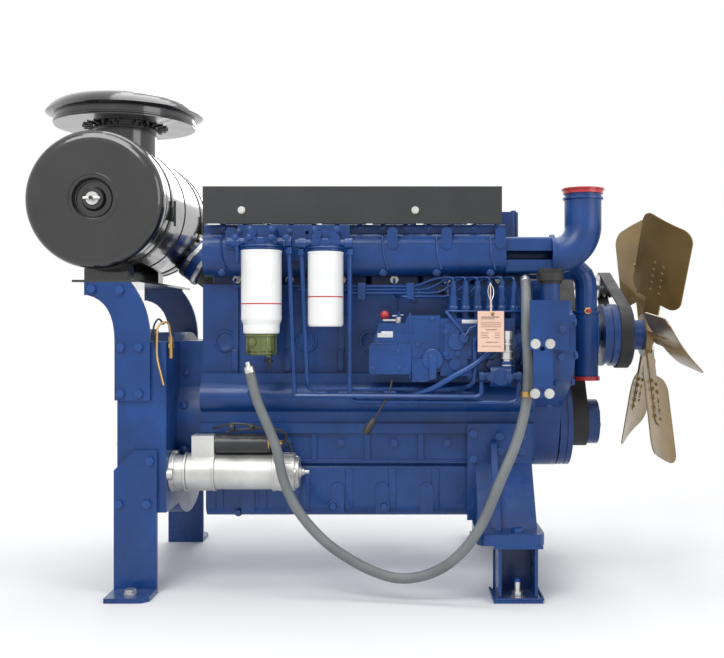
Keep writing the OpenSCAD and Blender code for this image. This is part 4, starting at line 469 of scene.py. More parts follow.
def scatter(tree, head, tail, shape, spin):
    """Puts shape on each point, facing and sized as stored there, and spun at random."""
    align = node(tree, "FunctionNodeAlignRotationToVector", {"axis": "Z"},
                 Vector=stored(tree, "facing", "FLOAT_VECTOR")).outputs[0]
    turn = node(tree, "FunctionNodeAxisAngleToRotation", Axis=(0, 0, 1),
                Angle=random_value(tree, head, 0.0, spin)).outputs[0]
    both = node(tree, "FunctionNodeRotateRotation", {"rotation_space": "LOCAL"}, i0=align, i1=turn)
    spread = node(tree, "GeometryNodeInstanceOnPoints", Points=head.outputs["Geometry"],
                  Instance=shape, Rotation=both.outputs[0], Scale=stored(tree, "size", "FLOAT"))
    close(tree, head, tail, spread.outputs[0])


def close(tree, head, tail, made):
    real = node(tree, "GeometryNodeRealizeInstances", i0=made).outputs[0]
    last = node(tree, "GeometryNodeSetMaterial", Geometry=real, Material=head.outputs["Material"])
    plug(tree, last.outputs[0], tail.inputs[0])


def bolt_tree():
    """A hexagon screw: washer, chamfered head and a domed centre."""
    tree, head, tail = geometry_tree("Hexagon Screws", Head=1.9, Seed=7)
    wide = tree.nodes.new("GeometryNodeJoinGeometry")
    size = head.outputs["Head"]
    scale = node(tree, "ShaderNodeCombineXYZ", i0=size, i1=size, i2=1.0).outputs[0]
    hexes = tree.nodes.new("GeometryNodeJoinGeometry")
    for part in ((6, 1.0, 1.0, 0.95, 0.2), (6, 1.0, 0.86, 0.2, 1.15), (12, 0.72, 0.5, 0.14, 1.3)):
        plug(tree, solid(tree, *part), hexes.inputs[0])
    scaled = node(tree, "GeometryNodeTransform", i0=hexes.outputs[0], Scale=scale).outputs[0]
    plug(tree, scaled, wide.inputs[0])
    plug(tree, solid(tree, 20, 2.35, 2.3, 0.35, -0.1), wide.inputs[0])
    scatter(tree, head, tail, wide.outputs[0], 2 * math.pi)
    return tree


def dome_tree():
    """A domed rivet or button."""
    tree, head, tail = geometry_tree("Domed Rivets", Seed=3)
    ball = node(tree, "GeometryNodeMeshUVSphere", Segments=14, Rings=8).outputs[0]
    flat = node(tree, "GeometryNodeTransform", i0=ball, Scale=(1, 1, 0.45)).outputs[0]
    scatter(tree, head, tail, flat, 6.28)
    return tree


def bead_tree():
    """A weld bead: overlapping scales laid along a line at a set step."""
    tree, head, tail = geometry_tree("Weld Bead", Step=0.0035, Width=0.004, Seed=5)
    curve = node(tree, "GeometryNodeMeshToCurve", i0=head.outputs["Geometry"]).outputs[0]
    even = node(tree, "GeometryNodeResampleCurve", {"mode": "LENGTH"}, Curve=curve,
                Length=head.outputs["Step"]).outputs[0]
    ball = node(tree, "GeometryNodeMeshIcoSphere", Subdivisions=2).outputs[0]
    width = calc(tree, "MULTIPLY", random_value(tree, head, 0.85, 1.15), head.outputs["Width"])
    spread = node(tree, "GeometryNodeInstanceOnPoints", Points=even, Instance=ball, Scale=width)
    close(tree, head, tail, spread.outputs[0])
    return tree


def strand_tree():
    """A round wire or pipe swept along lines of points."""
    tree, head, tail = geometry_tree("Strand", Radius=0.002, Sides=10)
    curve = node(tree, "GeometryNodeMeshToCurve", i0=head.outputs["Geometry"]).outputs[0]
    circle = node(tree, "GeometryNodeCurvePrimitiveCircle", Resolution=head.outputs["Sides"],
                  Radius=head.outputs["Radius"]).outputs[0]
    ends = {"Profile Curve": circle, "Fill Caps": True}
    skin = node(tree, "GeometryNodeCurveToMesh", Curve=curve, **ends)
    close(tree, head, tail, skin.outputs[0])
    return tree


TREES = {}


def grow(name, tree, mesh, finish, body="engine", **values):
    """Runs a node tree on a mesh of points or lines and keeps the result as a plain piece."""
    carrier = bpy.data.objects.new(name + "_points", mesh)
    bpy.context.scene.collection.objects.link(carrier)
    modifier = carrier.modifiers.new("Grow", "NODES")
    modifier.node_group = TREES[tree]
    values["Material"] = LOOKS[finish]
    for item in TREES[tree].interface.items_tree:
        if item.item_type == "SOCKET" and item.in_out == "INPUT" and item.name in values:
            modifier[item.identifier] = values[item.name]
    graph = bpy.context.evaluated_depsgraph_get()
    result = bpy.data.meshes.new_from_object(carrier.evaluated_get(graph))
    carrier.modifiers.remove(modifier)
    bpy.data.objects.remove(carrier)
    if not result.polygons:
        raise RuntimeError(name + " came out empty")
    return mount(name, result, finish, body)


def point_mesh(spots):
    """Points with a stored direction and size, from (place, direction, size) in millimetres."""
    mesh = bpy.data.meshes.new("points")
    mesh.from_pydata([Vector(p) * MM for p, way, size in spots], [], [])
    facing = mesh.attributes.new("facing", "FLOAT_VECTOR", "POINT")
    ways = [Vector(way).normalized() for p, way, size in spots]
    facing.data.foreach_set("vector", [c for way in ways for c in way])
    sized = mesh.attributes.new("size", "FLOAT", "POINT")
    sized.data.foreach_set("value", [size * MM for p, way, size in spots])
    return mesh


def line_mesh(lines):
    """Open lines of points in millimetres."""
    points, edges = [], []
    for line in lines:
        first = len(points)
        points += [Vector(p) * MM for p in line]
        edges += [(first + k, first + k + 1) for k in range(len(line) - 1)]
    mesh = bpy.data.meshes.new("lines")
    mesh.from_pydata(points, edges, [])
    return mesh


# ---- Settings shown in the panel -------------------------------------------------------


class EngineColours(bpy.types.PropertyGroup):
    """Main colours of the engine's finishes."""

    paint: FloatVectorProperty(name="Engine Paint",
                               description="Blue enamel on castings and sheet metal",
                               subtype="COLOR", size=3, min=0, max=1, default=(0.006, 0.046, 0.19))
    fan: FloatVectorProperty(name="Fan Paint", description="Gold brown enamel on the fan",
                             subtype="COLOR", size=3, min=0, max=1, default=(0.2, 0.128, 0.038))
    cleaner: FloatVectorProperty(name="Air Cleaner",
                                 description="Black enamel on the drum, its cover and the rain cap",
                                 subtype="COLOR", size=3, min=0, max=1,
                                 default=(0.009, 0.009, 0.01))
    caps: FloatVectorProperty(name="Port Caps",
                              description="Red shipping caps and the lever's ball",
                              subtype="COLOR", size=3, min=0, max=1, default=(0.5, 0.025, 0.03))


class EngineSizes(bpy.types.PropertyGroup):
    """Sizes of the small parts that are added to the solids."""

    hose_d: FloatProperty(name="Hose Diameter", description="Outer diameter of the hanging hose",
                          unit="LENGTH", default=0.026, min=0.01, max=0.04)
    wire_r: FloatProperty(name="Wire Radius", description="Radius of the electric leads",
                          unit="LENGTH", default=0.0026, min=0.001, max=0.006)
    rivet_r: FloatProperty(name="Rivet Radius", description="Radius of the fan's rivets",
                           unit="LENGTH", default=0.0052, min=0.002, max=0.01)
    seed: IntProperty(name="Seed", description="Turns the screw heads differently", default=7,
                      min=0)
    lens: FloatProperty(name="Lens", description="Focal length of the camera in millimetres",
                        default=49.3, min=20, max=120)


def colours():
    return bpy.context.scene.engine_colours


def sizes():
    return bpy.context.scene.engine_sizes


# ---- Camera, hose and finishes ---------------------------------------------------------


class ENGINE_OT_camera(bpy.types.Operator):
    """Sets the camera level with the pump side, at the photograph's distance"""

    bl_idname = "engine.camera"
    bl_label = "Camera"

    def execute(self, context):
        data = bpy.data.cameras.new("engine_camera")
        data.lens = sizes().lens
        data.sensor_width = 36
        data.shift_x, data.shift_y = -0.0511, -0.0069
        data.clip_end = 60
        camera = bpy.data.objects.new("engine_camera", data)
        camera.location = (0.74, -2.89, 0.283)
        camera.rotation_euler = (math.pi / 2, 0, 0)
        context.scene.collection.objects.link(camera)
        context.scene.camera = camera
        return {"FINISHED"}


class ENGINE_OT_finishes(bpy.types.Operator):
    """Builds every finish and gives each solid of the engine its own"""

    bl_idname = "engine.finishes"
    bl_label = "Finishes"

    def execute(self, context):
        GROUPS.update(cast=cast_group(), wear=wear_group(), lines=brushed_group())
        c = colours()
        paint, cleaner = tuple(c.paint), tuple(c.cleaner)
        look("blue_cast", paint, 0.3, 0.7, 1.25, coat=0.12, coat_rough=0.16,
             specular=0.36, peel=(120, 0.8), grain=(480, 0.6), bump=0.3, dust=0.12, scuff=0.25,
             scuff_colour=(0.16, 0.2, 0.26), smear=0.16)
        look("blue_sheet", paint, 0.24, 0.8, 1.2, coat=0.14, specular=0.36,
             peel=(70, 0.7), grain=(600, 0.12), bump=0.1, dust=0.16, scuff=0.35,
             scuff_colour=(0.22, 0.25, 0.3), smear=0.14)
        look("blue_small", paint, 0.26, 0.8, 1.35, coat=0.2, specular=0.4,
             peel=(300, 0.5), grain=(900, 0.3), bump=0.14, dust=0.1, scuff=0.3)
        look("black_enamel", cleaner, 0.16, 0.7, 1.5, coat=0.7, coat_rough=0.05,
             peel=(45, 0.8), grain=(500, 0.05), bump=0.05, dust=0.1, scuff=0.25,
             scuff_colour=(0.2, 0.2, 0.2), smear=0.12)
        look("black_satin", (0.012, 0.013, 0.015), 0.36, 0.8, 1.4, coat=0.2,
             peel=(90, 0.5), grain=(900, 0.3), bump=0.08, dust=0.12, scuff=0.2,
             scuff_colour=(0.12, 0.13, 0.15))
        look("black_plastic", (0.014, 0.014, 0.015), 0.45, 0.8, 1.5,
             grain=(1200, 0.7))
        look("duct_rubber", (0.05, 0.043, 0.036), 0.5, 0.7, 1.3, peel=(60, 0.6),
             bump=0.2, dust=0.3)
        look("coupling_rubber", (0.02, 0.1, 0.42), 0.3, 0.8, 1.2, coat=0.2,
             bump=0.1)
        look("bright_steel", (0.63, 0.63, 0.61), 0.28, 0.8, 1.15, metal=0.9,
             grain=(900, 0.4), bump=0.06, dust=0.1, scuff=0.2)
        look("starter_alloy", (0.6, 0.6, 0.58), 0.38, 0.78, 1.15, metal=0.75,
             peel=(260, 0.6), grain=(900, 0.7), bump=0.22, dust=0.1, scuff=0.3,
             scuff_colour=(0.25, 0.24, 0.23))
        look("plain_steel", (0.5, 0.5, 0.5), 0.3, 0.75, 1.15, metal=1.0, bump=0.05,
             lines=(30.0, 700.0, 700.0))
        look("red_plastic", tuple(c.caps), 0.3, 0.8, 1.15, coat=0.2,
             grain=(900, 0.2), bump=0.05)
        look("cast_iron", (0.085, 0.078, 0.07), 0.68, 0.6, 1.5, metal=0.3,
             peel=(180, 0.8), grain=(560, 0.8), bump=0.5, scuff=0.5,
             scuff_colour=(0.16, 0.09, 0.05))
        look("piston_alloy", (0.62, 0.62, 0.63), 0.3, metal=1.0, bump=0.05,
             lines=(600.0, 30.0, 700.0))
        look("white_can", (0.86, 0.86, 0.84), 0.22, 0.96, 1.04, coat=0.5,
             coat_rough=0.06, peel=(40, 0.4), grain=(700, 0.05), bump=0.04, dust=0.05, scuff=0.05)
        look("bowl_brass", (0.11, 0.13, 0.045), 0.3, 0.6, 1.5, metal=0.55, coat=0.3,
             peel=(150, 0.6), bump=0.1)
        look("brass", (0.5, 0.33, 0.12), 0.32, 0.7, 1.2, metal=0.9, grain=(900, 0.4),
             bump=0.08)
        look("fan_paint", tuple(c.fan), 0.3, 0.8, 1.25, metal=0.25, coat=0.35,
             coat_rough=0.14, peel=(80, 0.7), grain=(700, 0.25), bump=0.1, dust=0.05, scuff=0.4,
             scuff_colour=(0.09, 0.06, 0.03), smear=0.15)
        look("belt_rubber", (0.018, 0.018, 0.018), 0.62, 0.7, 1.5, grain=(900, 0.8),
             bump=0.3)
        look("pink_card", (0.79, 0.53, 0.41), 0.6, 0.94, 1.04, grain=(1500, 0.6),
             bump=0.05, dust=0.0)
        look("print_ink", (0.06, 0.05, 0.05), 0.6, dust=0.0)
        look("bare_plate", (0.62, 0.63, 0.64), 0.35, 0.9, 1.1, metal=0.5,
             bump=0.03, dust=0.05, lines=(12.0, 1200.0, 1200.0))
        look("wire_black", (0.02, 0.02, 0.021), 0.42, grain=(1500, 0.6))
        self.hose_rubber()
        self.fixing_screws(paint)
        own = {"blue_paint": "blue_cast", "black_paint": "black_enamel"}
        sheet = ("rocker_covers", "oil_pan", "rear_brackets", "front_supports", "fuel_pipes",
                 "injector_pipes", "fan_pulley", "crank_pulley", "timing_cover", "governor")
        where = {p["node"]: p["material_slot"] for p in frame["record"]["subparts"]}
        for name, solid_object in NODES.items():
            finish = own.get(where[name], where[name])
            if name in sheet:
                finish = "blue_sheet"
            elif name in ("cover_plate", "starter_solenoid"):
                finish = "black_satin"
            elif name == "fixing_bolts":
                finish = "fixing_screws"
            solid_object.data.materials.clear()
            solid_object.data.materials.append(LOOKS[finish])
        return {"FINISHED"}

    def fixing_screws(self, paint):
        """Zinc on the cover, side plate and floor screws by where they stand, blue on the rest."""
        made = look("fixing_screws", (0.63, 0.63, 0.61), 0.28, 0.8, 1.15, metal=0.9,
                    bump=0.06, dust=0.1, scuff=0.2)
        tree = made.node_tree
        shader = tree.nodes["Principled BSDF"]
        x, _, z = node(tree, "ShaderNodeSeparateXYZ", i0=object_place(tree)).outputs
        cover = calc(tree, "GREATER_THAN", z, 0.54)
        side = calc(tree, "MULTIPLY", calc(tree, "GREATER_THAN", x, 1.065),
                    calc(tree, "GREATER_THAN", z, 0.09))
        floor = calc(tree, "LESS_THAN", z, -0.37)
        bare = calc(tree, "MAXIMUM", calc(tree, "MAXIMUM", cover, side), floor)
        zinc = shader.inputs["Base Color"].links[0].from_socket
        plug(tree, mixed(tree, bare, [c * 1.2 for c in paint], zinc), shader.inputs["Base Color"])
        plug(tree, calc(tree, "MULTIPLY", bare, 0.9), shader.inputs["Metallic"])

    def hose_rubber(self):
        """Rubber with fine wrapped cloth marks that follow the hose by its own map."""
        made = look("hose_rubber", (0.15, 0.163, 0.168), 0.52, 0.8, 1.2,
                    grain=(900, 0.5), bump=0.2, dust=0.2)
        tree = made.node_tree
        at = tree.nodes.new("ShaderNodeUVMap").outputs[0]
        wrap = node(tree, "ShaderNodeMapping", Vector=at, Scale=(260, 1, 1)).outputs[0]
        wave = node(tree, "ShaderNodeTexWave", {"bands_direction": "DIAGONAL"}, Vector=wrap,
                    Scale=1.0, Distortion=0.6).outputs[1]
        bump = next(n for n in tree.nodes if n.type == "BUMP")
        plain = bump.inputs["Height"].links[0].from_socket
        plug(tree, calc(tree, "MULTIPLY_ADD", wave, 0.45, plain), bump.inputs["Height"])


HOSE_LINE = [
    (352, -330, 169), (375, -338, 86), (408, -340, 8), (427, -345, -43), (445, -345, -121),
    (484, -350, -199), (548, -360, -269), (618, -372, -316), (686, -385, -346), (750, -396, -357),
    (820, -408, -341), (885, -420, -297), (944, -424, -219), (994, -412, -108), (1036, -386, -17),
    (1060, -366, 60), (1068, -356, 112), (1070, -352, 190), (1067, -345, 262), (1069, -325, 325),
    (1073, -290, 370), (1076, -250, 400),
]


class ENGINE_OT_hose(bpy.types.Operator):
    """Lays the hanging hose from the separator to the manifold"""

    bl_idname = "engine.hose"
    bl_label = "Hanging Hose"

    def execute(self, context):
        line = smooth_line(HOSE_LINE, 6)
        radius = sizes().hose_d / 2 / MM
        bm = bmesh.new()
        sweep(bm, line, radius, 24, bm.loops.layers.uv.new("UVMap"))
        hose = piece("hose", bm, "hose_rubber", angle=60)
        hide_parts("hanging_hose")
        for name, end, back in (("hose_end_low", line[0], line[5]),
                                ("hose_end_high", line[-1], line[-6])):
            bm = bmesh.new()
            way = (end - back).normalized()
            lathe(bm, [(0, 16), (6, 16), (6.8, 15), (6.8, 6), (11, 5), (12, 3), (radius + 0.8, 2),
                       (radius + 1.2, 0.8), (radius + 1.2, -13), (radius + 0.3, -14), (0, -14)],
                  end, way, 24)
            piece(name, bm, "bright_steel")
        return {"FINISHED"}


# ---- Small parts -----------------------------------------------------------------------

# Ways a ray goes when it looks for a seat: NEAR starts on the photographed side
NEAR, FAR, TOP, FRONT, REAR = (0, 1, 0), (0, -1, 0), (0, 0, -1), (-1, 0, 0), (1, 0, 0)
# Axes along which turned parts stand
OUT, ALONG, UP = (0, -1, 0), (1, 0, 0), (0, 0, 1)
BORES = [292 + 145 * k for k in range(6)]
FAN_X, FAN_Z = 1462, 251
STARTER = (0, -239.2, -111.6)
CLEANER_X, CLEANER_Z = -52, 608


def screws(name, spots, finish, body="engine"):
    if not spots:
        raise RuntimeError(name + " found no seat")
    return grow(name, "bolts", point_mesh(spots), finish, body, Seed=sizes().seed)


class ENGINE_OT_screws(bpy.types.Operator):
    """Seats hexagon screws on the castings, covers and stands"""

    bl_idname = "engine.screws"
    bl_label = "Screws"

    def execute(self, context):
        TREES.update(bolts=bolt_tree(), domes=dome_tree(), beads=bead_tree(), strands=strand_tree())
        blue = []
        for way in (NEAR, FAR):
            for name, across, heights, size in (
                    ("cylinder_block", (345, 480, 640, 780, 925), (352,), 5.5),
                    ("cylinder_block", range(292, 1030, 145), (-40,), 6.5),
                    ("timing_case", (1150,), (60, 130, 200, 270), 5),
                    ("flywheel_housing", (150,), (-150, -60, 60, 150), 5.5)):
                blue += seats(name, grid(across, heights), way, size)
        timing = (circle_of(8, 96, 0, 0, 0, 0.3) + circle_of(8, 110, -262, 226, 0, 0.2)
                  + circle_of(7, 106, 148, 92, 0, 0.5)
                  + [(0, -120, 60), (0, -190, 130), (0, 40, 180)])
        governor = [(x, 0, z) for x, z in ((738, 300), (682, 235), (738, 212), (790, 228),
                                           (828, 296), (672, 168), (742, 168))]
        for name, spots, way, size in (
                ("rocker_covers", self.round_bores(48, 70), TOP, 4),
                ("cylinder_heads", self.round_bores(62, 104), TOP, 8),
                ("timing_cover", timing, FRONT, 5),
                ("flywheel_housing", circle_of(16, 262, 0, 0, 0, 0.13), REAR, 4.5),
                ("intake_manifold", grid(range(262, 1010, 62), (545,)), NEAR, 4.6),
                ("intake_manifold", grid(range(262, 1010, 145), (424,)), NEAR, 5),
                ("filter_bracket", grid((312, 350, 408, 446, 520, 576), (508, 530)), NEAR, 4.4),
                ("governor", governor, NEAR, 3.2),
                ("injection_pump", grid((862, 893, 925, 957, 989, 1020), (206, 262)), NEAR, 3.6),
                ("injection_pump", grid((930, 975, 1020), (148,)), NEAR, 5),
                ("water_pump", circle_of(7, 58, 0, FAN_Z, 0, 0.4), FRONT, 4.6),
                ("front_supports", grid((1010, 1070), (-60, -20)), NEAR, 7),
                ("alternator", circle_of(4, 62, 236, 402, 0, 0.8), FRONT, 4),
                ("turbo_housing", grid(BORES, (440,)), FAR, 5)):
            blue += seats(name, spots, way, size)
        screws("screws_painted", blue, "blue_small")
        for name, on, spots, size, body in (
                ("screws_bare", "starter_motor", circle_of(3, 41, *STARTER[1:], 0, 0.9), 4.2,
                 "engine"),
                ("screws_fan", "fan_blades", circle_of(6, 44, 0, FAN_Z, 0, 0.2), 5, "fan"),
                ("screws_pulley", "crank_pulley", circle_of(6, 34, 0, 0, 0, 0.2), 5, "crank")):
            screws(name, seats(on, spots, FRONT, size), "bright_steel", body)
        return {"FINISHED"}

    def round_bores(self, along, across):
        """Four spots round each cylinder's middle."""
        return [(x + dx, dy, 0)
                for x in BORES for dx in (-along, along) for dy in (-across, across)]


class ENGINE_OT_block(bpy.types.Operator):
    """Adds core plugs, cast bosses, drain plug and bosses to block and pan"""

    bl_idname = "engine.block"
    bl_label = "Block Bosses"

    def execute(self, context):
        bm = bmesh.new()
        for way in (NEAR, FAR):
            axis = [-c for c in way]
            depth = 7 if axis[1] > 0 else 4
            for at in met("cylinder_block", grid((262, 374, 486, 660, 812, 960), (236,)), way):
                lathe(bm, [(0, -3), (31, -3), (31, 3.5), (29.5, 5), (24, 5), (22.5, 2.5), (20, 1.6),
                           (0, 1.2)], at, axis, 40)
            for at in met("cylinder_block", grid((346, 560, 735, 905), (98,)), way):
                lathe(bm, [(0, -14), (15, -14), (15, 6), (13.5, 8), (11, 8), (10, 4), (0, 4)],
                      at, axis, 24)
            for at in met("cylinder_block", grid((290, 435, 580, 725, 870, 1015), (182,)), way):
                x = round(at.x)
                brick(bm, (x - 9, at.y - 4, 152), (x + 9, at.y + depth, 214), 2.5)
        piece("core_plugs", bm, "blue_cast")
        bm = bmesh.new()
        for x, z, r in ((699.35, -214, 11), (560, -214, 11), (300, -232, 8)):
            for at in met("oil_pan", [(x, 0, z)], NEAR):
                lathe(bm, [(0, -3), (r * 1.5, -3), (r * 1.5, 2), (r * 1.4, 3), (r, 3)], at, OUT, 28)
                lathe(bm, [(r, 2), (r, 10), (r * 0.86, 11.5), (0, 11.5)], at, OUT, 6)
        piece("pan_plugs", bm, "blue_small")
        bm = bmesh.new()
        for side in (-1, 1):
            brick(bm, (204, side * 186 - 6, -93), (1106, side * 186 + 6, -86.2), 1.5)
            for at in met("oil_pan", grid(range(250, 1080, 118), (-170,)), (0, -side, 0)):
                x = round(at.x)
                brick(bm, (x - 11, at.y - 3, -222), (x + 11, at.y + 3, -112), 2.8)
        piece("pan_rail", bm, "blue_sheet")
        bm = bmesh.new()
        for at in met("intake_manifold", grid((300, 445, 590, 735, 880, 1025), (470,)), NEAR):
            x, y = round(at.x), at.y
            sweep(bm, rounded_line([(x - 40, y + 2, 520), (x - 38, y - 1.5, 470),
                                    (x - 26, y + 4, 430)], 16), 3.2, 8)
        y = seat("intake_manifold", (700, 0, 500), NEAR).y - 0.4
        sweep(bm, [(225, y, 500), (1005, y, 500)], 2.2, 8)
        piece("manifold_flash", bm, "blue_cast")
        return {"FINISHED"}


class ENGINE_OT_cleaner(bpy.types.Operator):
    """Adds rims, seams, band clamps and the rain cap's skirt to the air cleaner"""

    bl_idname = "engine.cleaner"
    bl_label = "Air Cleaner Trim"

    def execute(self, context):
        at = (CLEANER_X, 0, CLEANER_Z)
        bm = bmesh.new()
        for r, low, high, soft in ((180.6, 268, 274, 1.6), (180.2, -262, -256, 1.6),
                                   (180.0, 40, 43, 1.0)):
            ring(bm, 176, r, low, high, at, OUT, 96, soft)
        piece("drum_beads", bm, "black_enamel")
        bm = bmesh.new()
        for r in (48, 66):
            face = -seat("air_cleaner_cover", (CLEANER_X + r, 0, CLEANER_Z), NEAR).y
            ring(bm, r - 3, r, 318, face + 2.2, at, OUT, 72, 0.9)
        piece("cover_rings", bm, "black_enamel")
        bm = bmesh.new()
        for y in (-205, 190):
            ring(bm, 177.6, 180.2, -y - 12, -y + 12, at, OUT, 96, 0.8)
            brick(bm, (CLEANER_X + 176, y - 13, 560), (CLEANER_X + 184, y + 13, 600), 1.5)
            sweep(bm, [(CLEANER_X + 185, y, 548), (CLEANER_X + 185, y, 616)], 3.2)
        piece("drum_bands", bm, "black_satin")
        bm = bmesh.new()
        cap, low = (CLEANER_X, -18, 0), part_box("rain_cap")[0][2] / MM
        ring(bm, 196, 200.5, low + 4, low + 10, cap, UP, 96, 1.6)
        brick_ring(bm, 24, 106, (CLEANER_X, -18, low + 1), (14, 1.2, 6), 0.6, "Z")
        ring(bm, 86, 92, low - 16, low - 8, cap, UP, 64, 1.4)
        piece("cap_skirt", bm, "black_enamel")
        return {"FINISHED"}


class ENGINE_OT_filters(bpy.types.Operator):
    """Adds seams, red lines, collar and bowl ribs to the fuel filters"""

    bl_idname = "engine.filters"
    bl_label = "Filter Trim"

    def execute(self, context):
        cans = []
        for name in ("water_separator", "fuel_filter"):
            low, high = (Vector(c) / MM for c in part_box(name))
            cans.append((((low.x + high.x) / 2, (low.y + high.y) / 2, 0), (high.x - low.x) / 2,
                         low.z, high.z))
        red, seam, blue = bmesh.new(), bmesh.new(), bmesh.new()
        for at, r, low, high in cans:
            line = low + 76
            ring(red, r - 0.6, r + 0.25, line, line + 3.2, at, UP, 96, 0.1)
            ring(seam, r - 2, r + 0.9, high - 7, high - 1, at, UP, 96, 0.9)
            ring(blue, r - 12, r - 1.5, high + 0.4, high + 7, at, UP, 72, 1.2)
            ring(blue, r - 4, r + 2.5, high + 7, high + 11, at, UP, 72, 1.2)
        ring(seam, 49, 53.6, cans[0][2] + 38, cans[0][2] + 41, cans[0][0], UP, 96, 0.9)
        for x in (620, 760):
            ring(seam, 50, 54.8, 86, 92, (x, 272, 0), UP, 72, 0.9)
        piece("can_lines", red, "red_plastic")
        piece("can_seams", seam, "white_can")
        for (x, y, _), r, low, high in cans:
            for s in (-1, 1):
                at = (x + s * (r + 4), y, high + 21)
                lathe(blue, [(0, 0), (13, 0), (14, 1), (14, 7), (13, 8), (0, 8)], at, (s, 0, 0), 24)
                lathe(blue, [(0, 8), (11, 8), (11, 14), (9.5, 15.5), (0, 15.5)], at, (s, 0, 0), 6)
            lathe(blue, [(0, -4), (13, -4), (14, -3), (14, 4), (12.5, 5.5), (0, 5.5)],
                  (x, y - 17, high + 20), OUT, 6)
        (x, y, _), r, low, high = cans[0]
        lathe(blue, [(0, -20), (8, -20), (8, 10), (6, 12), (6, 40), (0, 40)],
              (x - r - 10, y, high + 8), (0, 0, -1), 12)
        piece("filter_unions", blue, "blue_small")
        bm = bmesh.new()
        brick_ring(bm, 12, 38, (x, y, low - 29), (1.8, 2.4, 23), 0.8, "Z")
        ring(bm, 36, 43.5, low - 8, low - 1.5, (x, y, 0), UP, 72, 1.2)
        ring(bm, 34, 41.5, low - 54, low - 49, (x, y, 0), UP, 72, 1.2)
        lathe(bm, [(0, -8), (9, -8), (10, -6), (10, 5), (0, 7)], (x - 18, y - 36, low - 22), OUT, 6)
        piece("bowl_trim", bm, "bowl_brass")
        return {"FINISHED"}


class ENGINE_OT_fan(bpy.types.Operator):
    """Rivets the blades to their arms, on both faces"""

    bl_idname = "engine.fan"
    bl_label = "Fan Rivets"

    def execute(self, context):
        rivets = []
        pitch = Matrix.Rotation(math.radians(36 - 90), 3, "Z")
        for k in range(6):
            turn = Matrix.Rotation(math.radians(-25 + 60 * k), 3, "X")
            out = (turn @ pitch @ Vector((0, 1, 0))).normalized()
            for r in (150, 172, 194, 216, 238):
                for s in (-1, 1):
                    across = turn @ pitch @ Vector((s * 15, 0, 0))
                    spot = turn @ Vector((0, 0, r)) + across + Vector((FAN_X, 0, FAN_Z))
                    for sign in (-1, 1):
                        start = (spot + out * 60 * sign) * MM
                        hit = surface("fan_blades").ray_cast(start, -out * sign, 0.12)[0]
                        if hit is not None:
                            rivets.append((hit / MM, out * sign, sizes().rivet_r / MM))
        grow("fan_rivets", "domes", point_mesh(rivets), "fan_paint", "fan", Seed=3)
        return {"FINISHED"}


class ENGINE_OT_starter(bpy.types.Operator):
    """Adds bands, end screws, a bare plate, terminals and heavy leads to the starter"""

    bl_idname = "engine.starter"
    bl_label = "Starter Trim"

    def execute(self, context):
        _, y, z = STARTER
        bm = bmesh.new()
        for start in (132.5, 170, 246, 404):
            ring(bm, 46, 52.2, start, start + 7, STARTER, ALONG, 72, 1.4)
        brick_ring(bm, 10, 49, (440, y, z), (18, 2.4, 2.4), 1.0, "X")
        lathe(bm, [(30, 452), (30, 470), (27, 473), (17, 474), (15, 480), (0, 480)],
              STARTER, ALONG, 40)
        piece("starter_bands", bm, "starter_alloy")
        bm = bmesh.new()
        step = math.radians(5)
        for k in range(8):
            a = math.radians(5 * k - 200)
            sides = [(math.cos(b), math.sin(b)) for b in (a, a + step)]
            v = [bm.verts.new((end, y + r * c, z - r * s)) for end in (296, 352)
                 for c, s in sides for r in (44.4, 44.9)]
            for face in ((0, 1, 3, 2), (4, 6, 7, 5), (0, 4, 5, 1), (2, 3, 7, 6), (1, 5, 7, 3),
                         (0, 2, 6, 4)):
                bm.faces.new([v[i] for i in face])
        bmesh.ops.remove_doubles(bm, verts=bm.verts, dist=0.01)
        piece("starter_plate", bm, "bare_plate")
        bm = bmesh.new()
        for side in (y - 13.5, y + 13.5):
            lathe(bm, [(0, 0), (5.2, 0), (5.2, 16), (4.2, 17.5), (0, 17.5)],
                  (412, side, -34), ALONG, 16)
            lathe(bm, [(0, 3), (9.5, 3), (9.5, 9), (8.5, 10), (0, 10)],
                  (406, side, -34), ALONG, 6)
        ring(bm, 20, 28.6, 392, 397, (0, y, -33.6), ALONG, 48, 1.2)
        piece("starter_terminals", bm, "brass")
        leads = [smooth_line(line, 6) for line in (
            [(424, -252, -33), (438, -256, -28), (440, -262, -8), (420, -272, 4), (372, -276, 8),
             (318, -274, 4), (282, -262, -4)],
            [(424, -226, -33), (444, -226, -36), (452, -232, -58), (444, -244, -70),
             (430, -252, -78)],
            [(405, -262, -20), (396, -272, -2), (352, -280, 16), (300, -278, 20), (262, -262, 10),
             (244, -236, 4)])]
        grow("starter_leads", "strands", line_mesh(leads), "wire_black", Radius=0.0034, Sides=12)
        bm = bmesh.new()
        for at in ((352, -279, 11), (300, -277, 10)):
            lathe(bm, [(0, -6), (9, -6), (10, -4), (10, 4), (9, 6), (0, 6)], at, ALONG, 16)
        piece("lead_sleeves", bm, "black_plastic")
        return {"FINISHED"}


